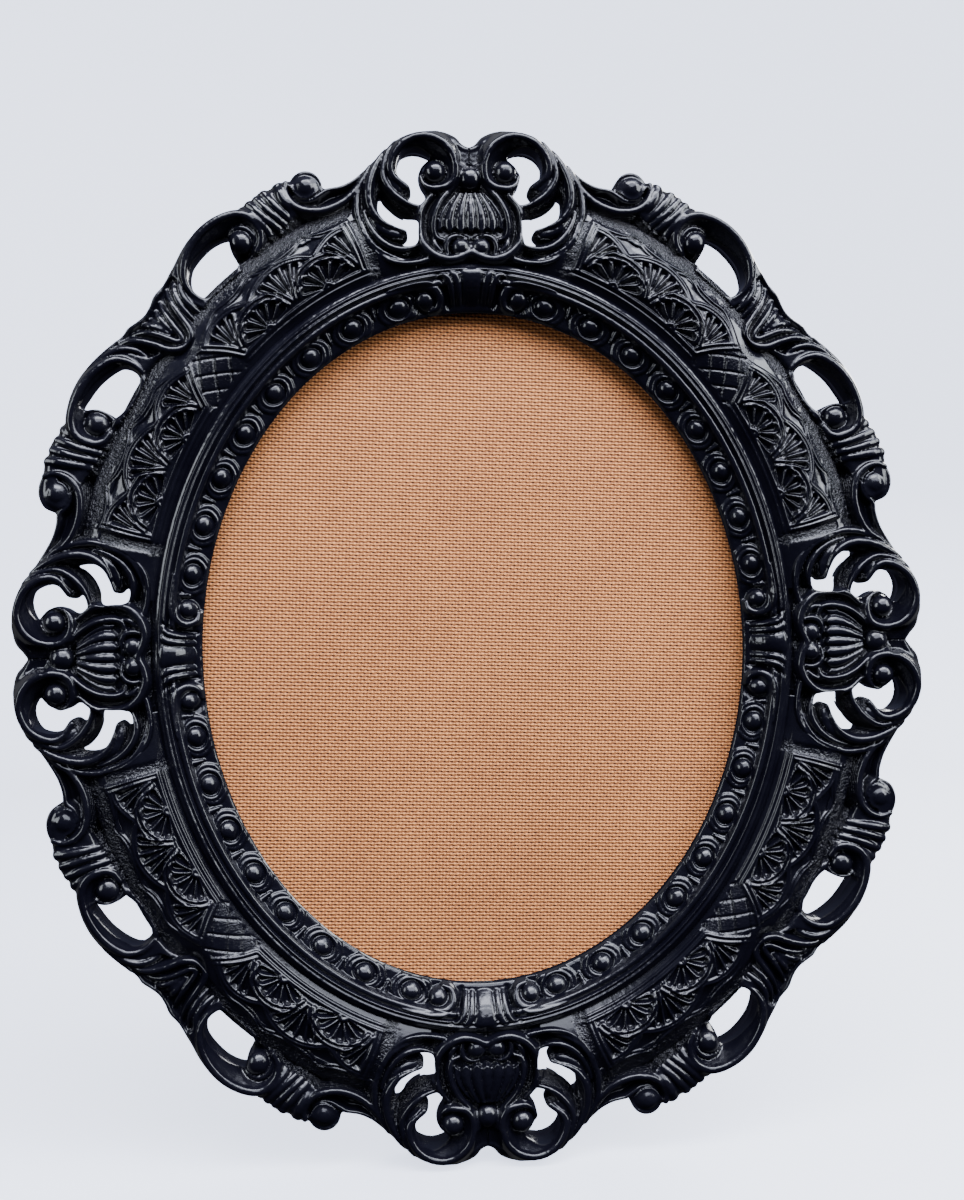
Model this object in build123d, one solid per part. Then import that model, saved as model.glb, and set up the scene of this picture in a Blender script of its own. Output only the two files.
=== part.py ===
from build123d import *
import math
import os

# Oval ornamental picture frame, upright, seen from the front along +Y.
# Millimetres.  X is to the right, Z is up, the front faces -Y and the back
# plane that lies on the wall is y = 0.  The origin is the oval's centre on
# that plane.  Everything is drawn in a flat working frame (x right, y up,
# z = height off the wall) and stood up at the end.

# ---------------------------------------------------------------- dimensions
SIGHT_A = 117.3          # half width of the sight opening
SIGHT_B = 145.0          # half height of the sight opening

LIP_BACK = 8.0           # height of the rebate floor (back of the sight lip)
LIP_FRONT = 11.5         # height of the sight edge
EGG_TOP_V = 12.5         # egg band: offset and height of its upper edge
EGG_TOP_H = 21.0
RIDGE_IN_V = 14.0        # flat ridge between egg band and frieze
RIDGE_OUT_V = 19.0
RIDGE_H = 24.3
GROOVE_V = 21.0          # groove outside the ridge
GROOVE_H = 21.5
CREST_IN_V = 34.0        # cushion frieze
CREST_OUT_V = 38.0
CREST_H = 26.0
FALL_V = 46.0
FALL_H = 22.5
VALLEY_V = 53.0          # valley where the frieze meets the scroll border
VALLEY_H = 15.5

BORDER_H = 15.5          # thickness of the scroll border plate

REBATE_V = 4.2           # rebate for the board, outside the sight edge
LEDGE_V = 30.0           # recessed ledge that carries the turn buttons
LEDGE_H = 5.0
BOARD_GAP = 0.5          # play round the board in its rebate
BOARD_T = 3.0

BALL_R = 6.4             # volute balls of the scroll border
CUP_W = 20.0             # half width of a cartouche cup
CART_SHIFT = 26.0        # the side cartouches sit this much nearer the centre

BUTTON_L = 22.0          # turn button: strip length, width, thickness
BUTTON_W = 9.0
BUTTON_T = 1.0
BUTTON_EYE = 4.5         # screw hole from the near end
BUTTON_PIVOT_V = REBATE_V + 7.5
BUTTON_BASE_H = 4.7      # front side of the strip, 0.3 clear of the ledge
BUTTON_BORE = 1.60
BUTTON_ANGLES = [41.0, 139.0, 180.0, 221.0, 270.0, 319.0]

SCREW_SHANK = 1.55       # turn button screw
SCREW_HEAD_R = 3.0
SCREW_HEAD_BASE = 3.4    # underside of the head
SCREW_HEAD_T = 1.8
SCREW_TIP_H = 14.0
PILOT_R = 1.20

STRAP_W = 10.0           # folded strap of a hanger
STRAP_T = 1.0
STRAP_L = 24.0
KNUCKLE_R = 2.15
KNUCKLE_BORE = 1.15
KNUCKLE_L = 9.0
RING_WIRE = 1.10         # radius of the D ring's wire
RING_HALF = 7.0          # half width at the wire's centre
RING_SIDE = 6.0          # knuckle axis to the start of the round end
RING_CORNER = 2.0
RING_AXIS_H = 2.5        # height of the knuckle's axis off the wall
POCKET_HALF = 10.0
POCKET_OUT = 16.5        # pocket length beyond the knuckle's axis
HANGER_SCREW_R = 1.5
HANGER_SCREW_HOLE = 1.7
HANGER_SCREW_IN = 20.0   # screw from the knuckle's axis
HANGER_HEAD_R = 2.8
HANGER_HEAD_T = 1.5

# outline of one quarter, from the top notch round to the side notch, as
# smooth runs that meet at cusps
OUTLINE = [
    [(0, 215.2), (2.6, 216.6), (5, 219.4), (9, 221.4), (12.5, 222.0),
     (18, 220.9), (25, 219.6), (31, 217.3), (36, 213.4), (40.5, 209.2),
     (45, 204.8), (50, 200.6), (55, 198.2), (60, 197.2), (62.6, 197.4)],
    [(62.6, 197.4), (63.6, 200.6), (66.2, 203.2), (70, 204.2), (73.6, 203.2),
     (76.4, 200.4)],
    [(76.4, 200.4), (79.5, 200.0), (83, 198.2), (86.0, 196.6), (89.6, 195.4),
     (92.4, 192.4), (95.4, 190.6), (98.4, 187.8)],
    [(98.4, 187.8), (104, 185.9), (110.5, 182.6), (117, 177.2), (122.5, 170.4),
     (127, 162.8), (130.6, 156.4), (134.4, 152.0), (136.4, 147.4),
     (138.6, 143.8), (142, 141.0), (145.6, 138.4), (147.6, 135.4),
     (151, 132.6), (156, 128.6), (161.4, 123.4), (166.2, 116.6),
     (169.6, 109.0), (171.2, 102.4), (171.6, 98.6)],
    [(171.6, 98.6), (174.2, 97.0), (175.0, 93.6), (177.8, 90.4), (178.8, 86.6),
     (180.8, 82.6), (181.6, 77.2)],
    [(181.6, 77.2), (183.0, 72.6), (183.0, 67.6), (180.8, 63.2), (176.6, 61.0)],
    [(176.6, 61.0), (176.6, 56.0), (178.6, 50.0), (182.6, 43.4), (187, 37.0),
     (191.0, 30.6), (193.8, 23.0), (195.2, 15.6), (195.6, 11.2),
     (194.6, 6.4), (191.6, 2.6), (189.6, 0)],
]

# pierced openings of one quarter (closed smooth curves)
HOLE_B = [(103.5, 173.7), (108, 172), (112, 168), (115.5, 163.5), (117, 159),
          (116.5, 155), (114.5, 152.2), (111.5, 151), (107.5, 153.3),
          (103, 157.5), (99.5, 162), (98.8, 165), (100.5, 168), (102, 170.5)]
HOLE_C = [(140.8, 116), (143, 119), (147.5, 120.2), (152, 117.8),
          (157, 113.5), (160.5, 108.5), (162.3, 104.6), (158, 104.1),
          (153.5, 102.3), (150.5, 100.8), (147, 103.5), (143, 109),
          (141.2, 112.5)]
# openings of a cartouche, drawn for the top one
HOLE_UP = [(20.5, 209.5), (24, 211.5), (28, 209.5), (29.8, 205), (29.0, 201),
           (26.0, 198.4), (25.2, 195.4), (26.6, 193.0), (25.2, 190.8),
           (21.0, 190.4), (19.0, 194.6), (21.2, 199.0), (21.8, 203.0),
           (20.8, 206.6)]
HOLE_LOW = [(22.4, 184.8), (28, 185.2), (33, 187.2), (36.6, 190.6),
            (38.2, 192.8), (38.4, 188.0), (36.4, 183.4), (32.0, 180.4),
            (27.6, 178.8), (27.0, 176.6), (28.8, 174.2), (27.2, 172.4),
            (24.0, 172.8), (22.2, 175.4), (22.0, 180.0)]

BALLS = [(70.0, 197.5), (97.5, 174.3), (158.0, 98.0), (175.5, 68.8)]
EYE = (15.6, 204.8)      # eye of the cartouche's volute


# ------------------------------------------------------------------- helpers
def oval(v, h):
    return Pos(0, 0, h) * Ellipse(SIGHT_A + v, SIGHT_B + v)


def slab(v, h0, h1):
    return extrude(oval(v, h0), amount=h1 - h0)


def stack(*rings):
    return loft([oval(v, h) for v, h in rings], ruled=True)


def closed_spline(points):
    return make_face(Spline(*points, periodic=True))


def quarters(points):
    out = []
    for sx in (1, -1):
        for sy in (1, -1):
            out.append([(sx * x, sy * y) for x, y in points])
    return out


def to_side(points):
    return [(y - CART_SHIFT, x) for x, y in points]


def outline_face():
    edges = []
    for sx, sy, back in ((1, 1, False), (1, -1, True),
                         (-1, -1, False), (-1, 1, True)):
        runs = list(OUTLINE)
        if back:
            runs = [list(reversed(r)) for r in reversed(runs)]
        for run in runs:
            edges.append(Spline(*[(sx * x, sy * y) for x, y in run]))
    return make_face(edges)


def ellipse_spot(angle):
    """Point on the sight edge and its outward normal, at a parameter angle."""
    t = math.radians(angle)
    n = (SIGHT_B * math.cos(t), SIGHT_A * math.sin(t))
    k = math.hypot(*n)
    return ((SIGHT_A * math.cos(t), SIGHT_B * math.sin(t)), (n[0] / k, n[1] / k))


def button_spot(angle):
    (px, py), (nx, ny) = ellipse_spot(angle)
    x = px + BUTTON_PIVOT_V * nx
    y = py + BUTTON_PIVOT_V * ny
    return x, y, math.degrees(math.atan2(ny, nx))


# hanger place: knuckle axis position and the turn that carries the top
# hanger's drawing there
TOP_AXIS = SIGHT_B + LEDGE_V
SIDE_AXIS = SIGHT_A + LEDGE_V
TOP_PLACE = Pos(0, TOP_AXIS, 0)
SIDE_PLACE = Pos(SIDE_AXIS, 0, 0) * Rot(0, 0, -90)

STAND_UP = Plane(origin=(0, 0, 0), x_dir=(1, 0, 0), z_dir=(0, -1, 0)).location


# ------------------------------------------------------------ the moulding
def cup():
    """Shell cup of the top cartouche."""
    return loft([Pos(0, 183.0, 13.0) * Ellipse(CUP_W, 15.0),
                 Pos(0, 183.0, 21.0) * Ellipse(CUP_W - 0.8, 14.4),
                 Pos(0, 183.0, 25.0) * Ellipse(CUP_W - 4.0, 11.6),
                 Pos(0, 183.0, 27.0) * Ellipse(CUP_W - 9.5, 7.0)], ruled=True)


def cartouche_parts():
    parts = [cup()]
    for s in (1, -1):
        parts.append(Pos(s * EYE[0], EYE[1], 18.5) * Sphere(5.4))
    return parts


def moulding():
    body = extrude(outline_face(), amount=BORDER_H)
    body += stack((VALLEY_V, 0.0), (VALLEY_V, VALLEY_H), (FALL_V, FALL_H),
                  (CREST_OUT_V, CREST_H))
    # inner side of the cushion frieze
    body -= stack((GROOVE_V, GROOVE_H), (30.0, 25.0), (CREST_IN_V, CREST_H),
                  (CREST_IN_V + 3.0, CREST_H + 0.9))
    # ridge round the egg band
    body += stack((RIDGE_OUT_V + 1.6, GROOVE_H - 0.6), (RIDGE_OUT_V, RIDGE_H))
    # sight opening and the sloping egg band
    body -= slab(0.0, -1.0, 40.0)
    body -= stack((-0.6, LIP_FRONT - 0.2), (1.5, LIP_FRONT + 0.5),
                  (EGG_TOP_V, EGG_TOP_H), (RIDGE_IN_V, RIDGE_H),
                  (RIDGE_IN_V + 1.0, RIDGE_H + 3.0))
    # pierced openings
    for hole in (HOLE_B, HOLE_C, HOLE_UP, HOLE_LOW,
                 to_side(HOLE_UP), to_side(HOLE_LOW)):
        for pts in quarters(hole):
            body -= Pos(0, 0, -1) * extrude(closed_spline(pts), amount=45)
    # raised work of the border
    for ball in BALLS:
        for ((x, y),) in quarters([ball]):
            body += Pos(x, y, BORDER_H + 1.0) * Sphere(BALL_R)
    for turn in (0, 180):
        for piece in cartouche_parts():
            body += Rot(0, 0, turn) * piece
        for piece in cartouche_parts():
            body += Rot(0, 0, turn) * (Pos(-CART_SHIFT, 0, 0) * (Rot(0, 0, -90) * piece))
    # rebate, ledge, hanger pockets and screw pilots in the back
    body -= slab(REBATE_V, -1.0, LIP_BACK)
    body -= slab(LEDGE_V, -1.0, LEDGE_H)
    for place in (TOP_PLACE, SIDE_PLACE):
        pocket = Pos(0, (POCKET_OUT - 8.0) / 2, -1.0) * Box(
            2 * POCKET_HALF, POCKET_OUT + 8.0, LEDGE_H + 1.0,
            align=(Align.CENTER, Align.CENTER, Align.MIN))
        body -= place * pocket
        body -= place * (Pos(0, -HANGER_SCREW_IN, 0) * Cylinder(
            PILOT_R, SCREW_TIP_H, align=(Align.CENTER, Align.CENTER, Align.MIN)))
    for angle in BUTTON_ANGLES:
        x, y, _ = button_spot(angle)
        body -= Pos(x, y, 0) * Cylinder(
            PILOT_R, SCREW_TIP_H, align=(Align.CENTER, Align.CENTER, Align.MIN))
    return body


# ------------------------------------------------------------ the back parts
def board():
    v = REBATE_V - BOARD_GAP
    return slab(v, LIP_BACK - BOARD_T, LIP_BACK)


def turn_button(angle):
    """Flat strip on its screw, its tongue pointing at the oval's centre."""
    half = BUTTON_W / 2
    strip = Pos(-(BUTTON_L / 2 - BUTTON_EYE), 0, 0) * extrude(
        SlotOverall(BUTTON_L, BUTTON_W), amount=BUTTON_T)
    strip -= Pos(0, 0, -1) * Cylinder(
        BUTTON_BORE, BUTTON_T + 2, align=(Align.CENTER, Align.CENTER, Align.MIN))
    x, y, turn = button_spot(angle)
    return Pos(x, y, BUTTON_BASE_H - BUTTON_T) * Rot(0, 0, turn) * strip


def pan_screw(shank, tip_h, head_base, head_r, head_t):
    """Pan-head screw that points into the moulding (towards greater height)."""
    low = head_base - head_t
    top = Pos(0, 0, low) * Cylinder(
        head_r, head_t, align=(Align.CENTER, Align.CENTER, Align.MIN))
    top = fillet(top.edges().sort_by(Axis.Z)[0], head_t * 0.55)
    stem = Pos(0, 0, head_base - 0.3) * Cylinder(
        shank, tip_h - 2.5 - head_base + 0.3,
        align=(Align.CENTER, Align.CENTER, Align.MIN))
    tip = Pos(0, 0, tip_h - 2.5) * Cone(
        shank, 0.3, 2.4, align=(Align.CENTER, Align.CENTER, Align.MIN))
    body = top + stem + tip
    slot_a = Pos(0, 0, low) * Box(head_r * 1.1, 0.7, 1.4)
    slot_b = Pos(0, 0, low) * Box(0.7, head_r * 1.1, 1.4)
    return body - slot_a - slot_b


def button_screws():
    solids = []
    for angle in BUTTON_ANGLES:
        x, y, turn = button_spot(angle)
        solids.append(Pos(x, y, 0) * Rot(0, 0, turn + 30) * pan_screw(
            SCREW_SHANK, SCREW_TIP_H, SCREW_HEAD_BASE, SCREW_HEAD_R,
            SCREW_HEAD_T))
    return solids


def hanger_screw():
    head_base = LEDGE_H - STRAP_T
    return Pos(0, -HANGER_SCREW_IN, 0) * pan_screw(
        HANGER_SCREW_R, SCREW_TIP_H, head_base, HANGER_HEAD_R, HANGER_HEAD_T)


def hanger_strap():
    """Strap whose end is rolled into a knuckle; the knuckle's axis is the
    local x axis, the strap runs towards local -y."""
    plate = Pos(0, -STRAP_L / 2, LEDGE_H - STRAP_T) * extrude(
        RectangleRounded(STRAP_W, STRAP_L, 2.0), amount=STRAP_T)
    web = Pos(0, -1.1, LEDGE_H - STRAP_T - 1.2) * Box(
        KNUCKLE_L, 2.0, 2.0, align=(Align.CENTER, Align.CENTER, Align.MIN))
    knuckle = Pos(0, 0, RING_AXIS_H) * Rot(0, 90, 0) * Cylinder(
        KNUCKLE_R, KNUCKLE_L)
    body = plate + web + knuckle
    body -= Pos(0, 0, RING_AXIS_H) * Rot(0, 90, 0) * Cylinder(
        KNUCKLE_BORE, KNUCKLE_L + 4)
    body -= Pos(0, -HANGER_SCREW_IN, 0) * Cylinder(
        HANGER_SCREW_HOLE, 20)
    return body


def hanger_ring():
    """D ring that hangs from its straight bar, in the plane of the strap."""
    c = RING_CORNER
    w = RING_HALF
    s = RING_SIDE
    k = c * (1 - math.sqrt(0.5))
    path = Wire([
        Line((-(w - c), 0), (w - c, 0)),
        ThreePointArc((w - c, 0), (w - k, -k), (w, -c)),
        Line((w, -c), (w, -s)),
        ThreePointArc((w, -s), (0, -s - w), (-w, -s)),
        Line((-w, -s), (-w, -c)),
        ThreePointArc((-w, -c), (-w + k, -k), (-(w - c), 0)),
    ])
    start = Plane(origin=(0, 0, 0), x_dir=(0, 1, 0), z_dir=(1, 0, 0))
    bar = Wire([Line((0, 0), (w - c, 0)),
                ThreePointArc((w - c, 0), (w - k, -k), (w, -c)),
                Line((w, -c), (w, -s)),
                ThreePointArc((w, -s), (w * math.sqrt(0.5), -s - w * math.sqrt(0.5)), (0, -s - w))])
    half = sweep(start * Circle(RING_WIRE), path=bar)
    ring = half + mirror(half, about=Plane.YZ)
    print("ring volume", round(ring.volume, 2), "section x length",
          round(math.pi * RING_WIRE ** 2 * path.length, 2))
    return Pos(0, 0, RING_AXIS_H) * ring


# --------------------------------------------------------------------- write
def write(name, shape):
    if isinstance(shape, list):
        shape = Compound(children=[STAND_UP * s for s in shape])
    else:
        shape = STAND_UP * shape
    export_step(shape, os.path.join("parts", name + ".step"))
    print(name, "volume", round(shape.volume, 1))


os.makedirs("parts", exist_ok=True)
write("frame_moulding", moulding())
write("backing_board", board())
for number, angle in enumerate(BUTTON_ANGLES, 1):
    write("turn_button_%d" % number, turn_button(angle))
write("turn_button_screws", button_screws())
for label, place in (("top", TOP_PLACE), ("side", SIDE_PLACE)):
    write("hanger_strap_" + label, place * hanger_strap())
    write("hanger_ring_" + label, place * hanger_ring())
write("hanger_screws", [TOP_PLACE * hanger_screw(), SIDE_PLACE * hanger_screw()])

for number, angle in enumerate(BUTTON_ANGLES, 1):
    x, y, _ = button_spot(angle)
    print("button %d pivot x %.3f z %.3f" % (number, x, y))
print("top knuckle z %.2f, side knuckle x %.2f" % (TOP_AXIS, SIDE_AXIS))
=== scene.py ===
import math

import bpy
import numpy as np
from mathutils import Matrix, Vector


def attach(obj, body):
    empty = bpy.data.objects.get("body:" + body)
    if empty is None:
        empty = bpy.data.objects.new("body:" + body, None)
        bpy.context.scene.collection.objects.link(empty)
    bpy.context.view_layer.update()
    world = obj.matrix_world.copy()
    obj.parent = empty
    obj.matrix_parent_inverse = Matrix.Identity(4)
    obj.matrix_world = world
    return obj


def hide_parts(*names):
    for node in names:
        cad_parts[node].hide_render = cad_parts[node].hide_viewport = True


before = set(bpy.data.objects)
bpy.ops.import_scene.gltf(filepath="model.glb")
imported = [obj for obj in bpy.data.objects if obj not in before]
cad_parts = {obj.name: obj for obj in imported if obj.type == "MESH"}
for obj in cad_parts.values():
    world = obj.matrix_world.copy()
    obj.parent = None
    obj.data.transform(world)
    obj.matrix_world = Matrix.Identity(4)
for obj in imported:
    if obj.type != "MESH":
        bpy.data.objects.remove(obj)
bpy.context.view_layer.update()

# Oval ornamental frame.  Lengths below are in millimetres in the frame's own
# plane: x to the right, z up, h = height off the wall (the front faces -Y).
# The carved work is drawn for one quarter and mirrored to the other three.

SIGHT_A, SIGHT_B = 117.3, 145.0
RIM_V = 20.6             # sight rim: from the sight edge to the frieze
FRIEZE_V0, FRIEZE_V1 = 20.0, 55.0
BORDER_V = 45.8          # the scroll border's hidden inner edge
REBATE_V, REBATE_H = 4.2, 8.0
LEDGE_V, LEDGE_H = 30.0, 5.0
CART_SHIFT = 26.0


# ------------------------------------------------------------------ drawing
def smooth(points, step=1.0, closed=False):
    """A smooth line through the points."""
    p = np.array(points, float)
    n = len(p)
    out = []
    for i in range(n if closed else n - 1):
        p1, p2 = p[i], p[(i + 1) % n]
        p0 = p[i - 1] if closed or i > 0 else 2 * p1 - p2
        p3 = p[(i + 2) % n] if closed or i + 2 < n else 2 * p2 - p1
        k = max(2, int(math.ceil(np.linalg.norm(p2 - p1) / step)))
        t = (np.arange(k) / k)[:, None]
        out.append(0.5 * (2 * p1 + (p2 - p0) * t
                          + (2 * p0 - 5 * p1 + 4 * p2 - p3) * t ** 2
                          + (3 * p1 - p0 - 3 * p2 + p3) * t ** 3))
    if not closed:
        out.append(p[-1:])
    return np.concatenate(out)


def near(U, W, line):
    """Distance to a line, and the share of its length at the nearest spot."""
    a, seg = line[:-1], np.diff(line, axis=0)
    l2 = np.maximum((seg ** 2).sum(1), 1e-12)
    run = np.concatenate([[0.0], np.cumsum(np.sqrt(l2))])
    best = np.full(U.shape, 1e12)
    share = np.zeros(U.shape)
    for k in range(len(a)):
        pu, pw = U - a[k, 0], W - a[k, 1]
        t = np.clip((pu * seg[k, 0] + pw * seg[k, 1]) / l2[k], 0, 1)
        d = (pu - t * seg[k, 0]) ** 2 + (pw - t * seg[k, 1]) ** 2
        m = d < best
        best[m] = d[m]
        share[m] = ((run[k] + t * math.sqrt(l2[k])) / run[-1])[m]
    return np.sqrt(best), share


def inside(U, W, poly):
    """Whether each spot lies in the closed outline."""
    m = np.zeros(U.shape, bool)
    for (x1, z1), (x2, z2) in zip(poly, np.roll(poly, -1, axis=0)):
        if z1 == z2:
            continue
        hit = (W >= min(z1, z2)) & (W < max(z1, z2))
        m ^= hit & (U < x1 + (W - z1) * (x2 - x1) / (z2 - z1))
    return m


def smax(a, b, k):
    d = a - b
    return 0.5 * (a + b + np.sqrt(d * d + k * k))


def ease(x):
    x = np.clip(x, 0, 1)
    return x * x * (3 - 2 * x)


def along(value, t):
    """A constant, or a smooth run through values spaced evenly over 0 to 1."""
    if np.isscalar(value):
        return value
    run = smooth([(i * 4.0, v) for i, v in enumerate(value)], 0.25)
    return np.interp(t, run[:, 0] / run[-1, 0], run[:, 1])


def grain(shape, seed, wide, high):
    """Smooth random roughness of unit spread, drawn out along one way."""
    a = np.random.RandomState(seed).normal(size=shape)
    for axis, n in ((0, wide), (1, high)):
        k = np.hanning(2 * n + 3)[1:-1]
        a = np.apply_along_axis(lambda r: np.convolve(r, k / k.sum(), "same"), axis, a)
    return a / a.std()


class Field:
    """Heights over a grid, worked on with beads, grooves, domes and bands."""

    def __init__(self, us, ws, start=0.0):
        self.u, self.w = us, ws
        self.U, self.W = np.meshgrid(us, ws, indexing="ij")
        self.h = np.zeros(self.U.shape) + start
        self.base = None

    def window(self, pts, margin):
        lo, hi = pts.min(0) - margin, pts.max(0) + margin
        i = np.searchsorted(self.u, [lo[0], hi[0]])
        j = np.searchsorted(self.w, [lo[1], hi[1]])
        return slice(i[0], i[1]), slice(j[0], j[1])

    def bead(self, pts, hw, top, k=0.3, wall=2.4, flat=1.0, rel=False, step=1.0):
        """A raised round line.  With rel, top is over the ground."""
        line = smooth(pts, step)
        w = self.window(line, np.max(hw) + 4)
        if self.h[w].size == 0:
            return
        d, t = near(self.U[w], self.W[w], line)
        r = along(hw, t)
        q = np.minimum(d / r, 1)
        z = along(top, t) - r * flat * (1 - np.sqrt(1 - q * q)) - wall * np.maximum(d - r, 0)
        if rel:
            z = z + self.base[w]
        self.h[w] = smax(self.h[w], z, k)

    def groove(self, pts, hw, depth, step=1.0):
        line = smooth(pts, step)
        w = self.window(line, 3 * np.max(hw))
        if self.h[w].size == 0:
            return
        d, t = near(self.U[w], self.W[w], line)
        self.h[w] -= along(depth, t) * np.exp(-(d / along(hw, t)) ** 2)

    def dome(self, c, r, top, k=0.3, wall=4.0, flat=1.0, rel=False):
        pts = np.array([c, c], float)
        w = self.window(pts, r + 3)
        d = np.hypot(self.U[w] - c[0], self.W[w] - c[1])
        q = np.minimum(d / r, 1)
        z = top - r * flat * (1 - np.sqrt(1 - q * q)) - wall * np.maximum(d - r, 0)
        if rel:
            z = z + self.base[w]
        self.h[w] = smax(self.h[w], z, k)

    def pillow(self, pts, top, edge, run, k=0.4):
        """A closed shape that rises from edge to top over run."""
        line = smooth(pts, 1.0, closed=True)
        w = self.window(line, 2)
        m = inside(self.U[w], self.W[w], line)
        d, _ = near(self.U[w], self.W[w], np.vstack([line, line[:1]]))
        q = 1 - np.clip(d / run, 0, 1)
        z = np.where(m, edge + (top - edge) * np.sqrt(1 - q * q), edge - 3 * d)
        self.h[w] = smax(self.h[w], z, k)

    def level(self, pts, value, soft=1.2):
        """Sets the ground of a closed shape, with a soft edge inside it."""
        line = smooth(pts, 1.2, closed=True)
        w = self.window(line, 2)
        m = inside(self.U[w], self.W[w], line)
        d, _ = near(self.U[w], self.W[w], np.vstack([line, line[:1]]))
        s = np.where(m, ease(d / soft), 0)
        self.h[w] = self.h[w] * (1 - s) + value * s

    def band(self, a, b, profile):
        """Sets the strip between two lines to a section that runs a to b."""
        la, lb = smooth(a, 1.0), smooth(b, 1.0)
        ring = np.vstack([la, lb[::-1]])
        w = self.window(ring, 1)
        m = inside(self.U[w], self.W[w], ring)
        da, _ = near(self.U[w], self.W[w], la)
        db, _ = near(self.U[w], self.W[w], lb)
        z = profile(da / np.maximum(da + db, 1e-6))
        self.h[w] = np.where(m, z, self.h[w])

    def fan(self, base, a0, a1, n, r0, radius, depth, rim=0.8):
        """Round-ended flutes that spread from a point; angles in degrees."""
        b = np.array([base, base], float)
        w = self.window(b, 22)
        U, W = self.U[w] - base[0], self.W[w] - base[1]
        rho = np.hypot(U, W)
        phi = np.degrees(np.arctan2(W, U))
        step = (a1 - a0) / n
        k = np.clip(np.floor((phi - a0) / step), 0, n - 1)
        mid = a0 + (k + 0.5) * step
        delta = np.radians(phi - mid) * rho
        end = np.interp(mid, *radius)
        half = math.radians(step) / 2 * 0.76
        wide = half * rho
        wr = half * end / (1 + half)
        rc = end - wr
        q = np.where(rho <= rc, np.abs(delta) / np.maximum(wide, 1e-6),
                     np.sqrt(delta ** 2 + (rho - rc) ** 2) / np.maximum(wr, 1e-6))
        q = np.where((phi > a0 - step) & (phi < a1 + step), q, 9)
        live = ease((rho - r0) / 1.5)
        off = (q - 1) * np.maximum(np.where(rho <= rc, wide, wr), 0.3)
        cut = depth * np.clip(1 - q ** 3, 0, 1) * live
        lip = rim * np.exp(-((off - 0.22) / 0.42) ** 2) * live
        self.h[w] += lip - cut


# ------------------------------------------- the oval's own coordinates
_t = np.linspace(0, math.pi / 2, 6001)
_s = np.concatenate([[0.0], np.cumsum(np.hypot(np.diff(SIGHT_A * np.sin(_t)),
                                                np.diff(SIGHT_B * np.cos(_t))))])
S_END = _s[-1]


def place(s, v):
    """x, z of the spot s along the sight edge from the top and v outside it."""
    t = np.interp(s, _s, _t)
    nx, nz = SIGHT_B * np.sin(t), SIGHT_A * np.cos(t)
    k = np.hypot(nx, nz)
    return SIGHT_A * np.sin(t) + v * nx / k, SIGHT_B * np.cos(t) + v * nz / k


def unplace(x, z):
    """s, v of a spot in the quarter."""
    x, z = np.asarray(x, float), np.asarray(z, float)
    t = np.arctan2(x / SIGHT_A, np.maximum(z, 0) / SIGHT_B)
    for _ in range(12):
        dx, dz = x - SIGHT_A * np.sin(t), z - SIGHT_B * np.cos(t)
        f = -SIGHT_A * np.cos(t) * dx + SIGHT_B * np.sin(t) * dz
        g = (SIGHT_A * np.sin(t) * dx + (SIGHT_A * np.cos(t)) ** 2
             + SIGHT_B * np.cos(t) * dz + (SIGHT_B * np.sin(t)) ** 2)
        t = np.clip(t - f / np.maximum(g, 1e-3), 0, math.pi / 2)
    nx, nz = SIGHT_B * np.sin(t), SIGHT_A * np.cos(t)
    k = np.hypot(nx, nz)
    v = (x - SIGHT_A * np.sin(t)) * nx / k + (z - SIGHT_B * np.cos(t)) * nz / k
    return np.interp(t, _t, _s), v


# ------------------------------------------------------------- sight rim
EGGS = [30.0 + 20.45 * k for k in range(8)]
DARTS = [30.0 + 20.45 * (k + 0.5) for k in range(7)]


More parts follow.
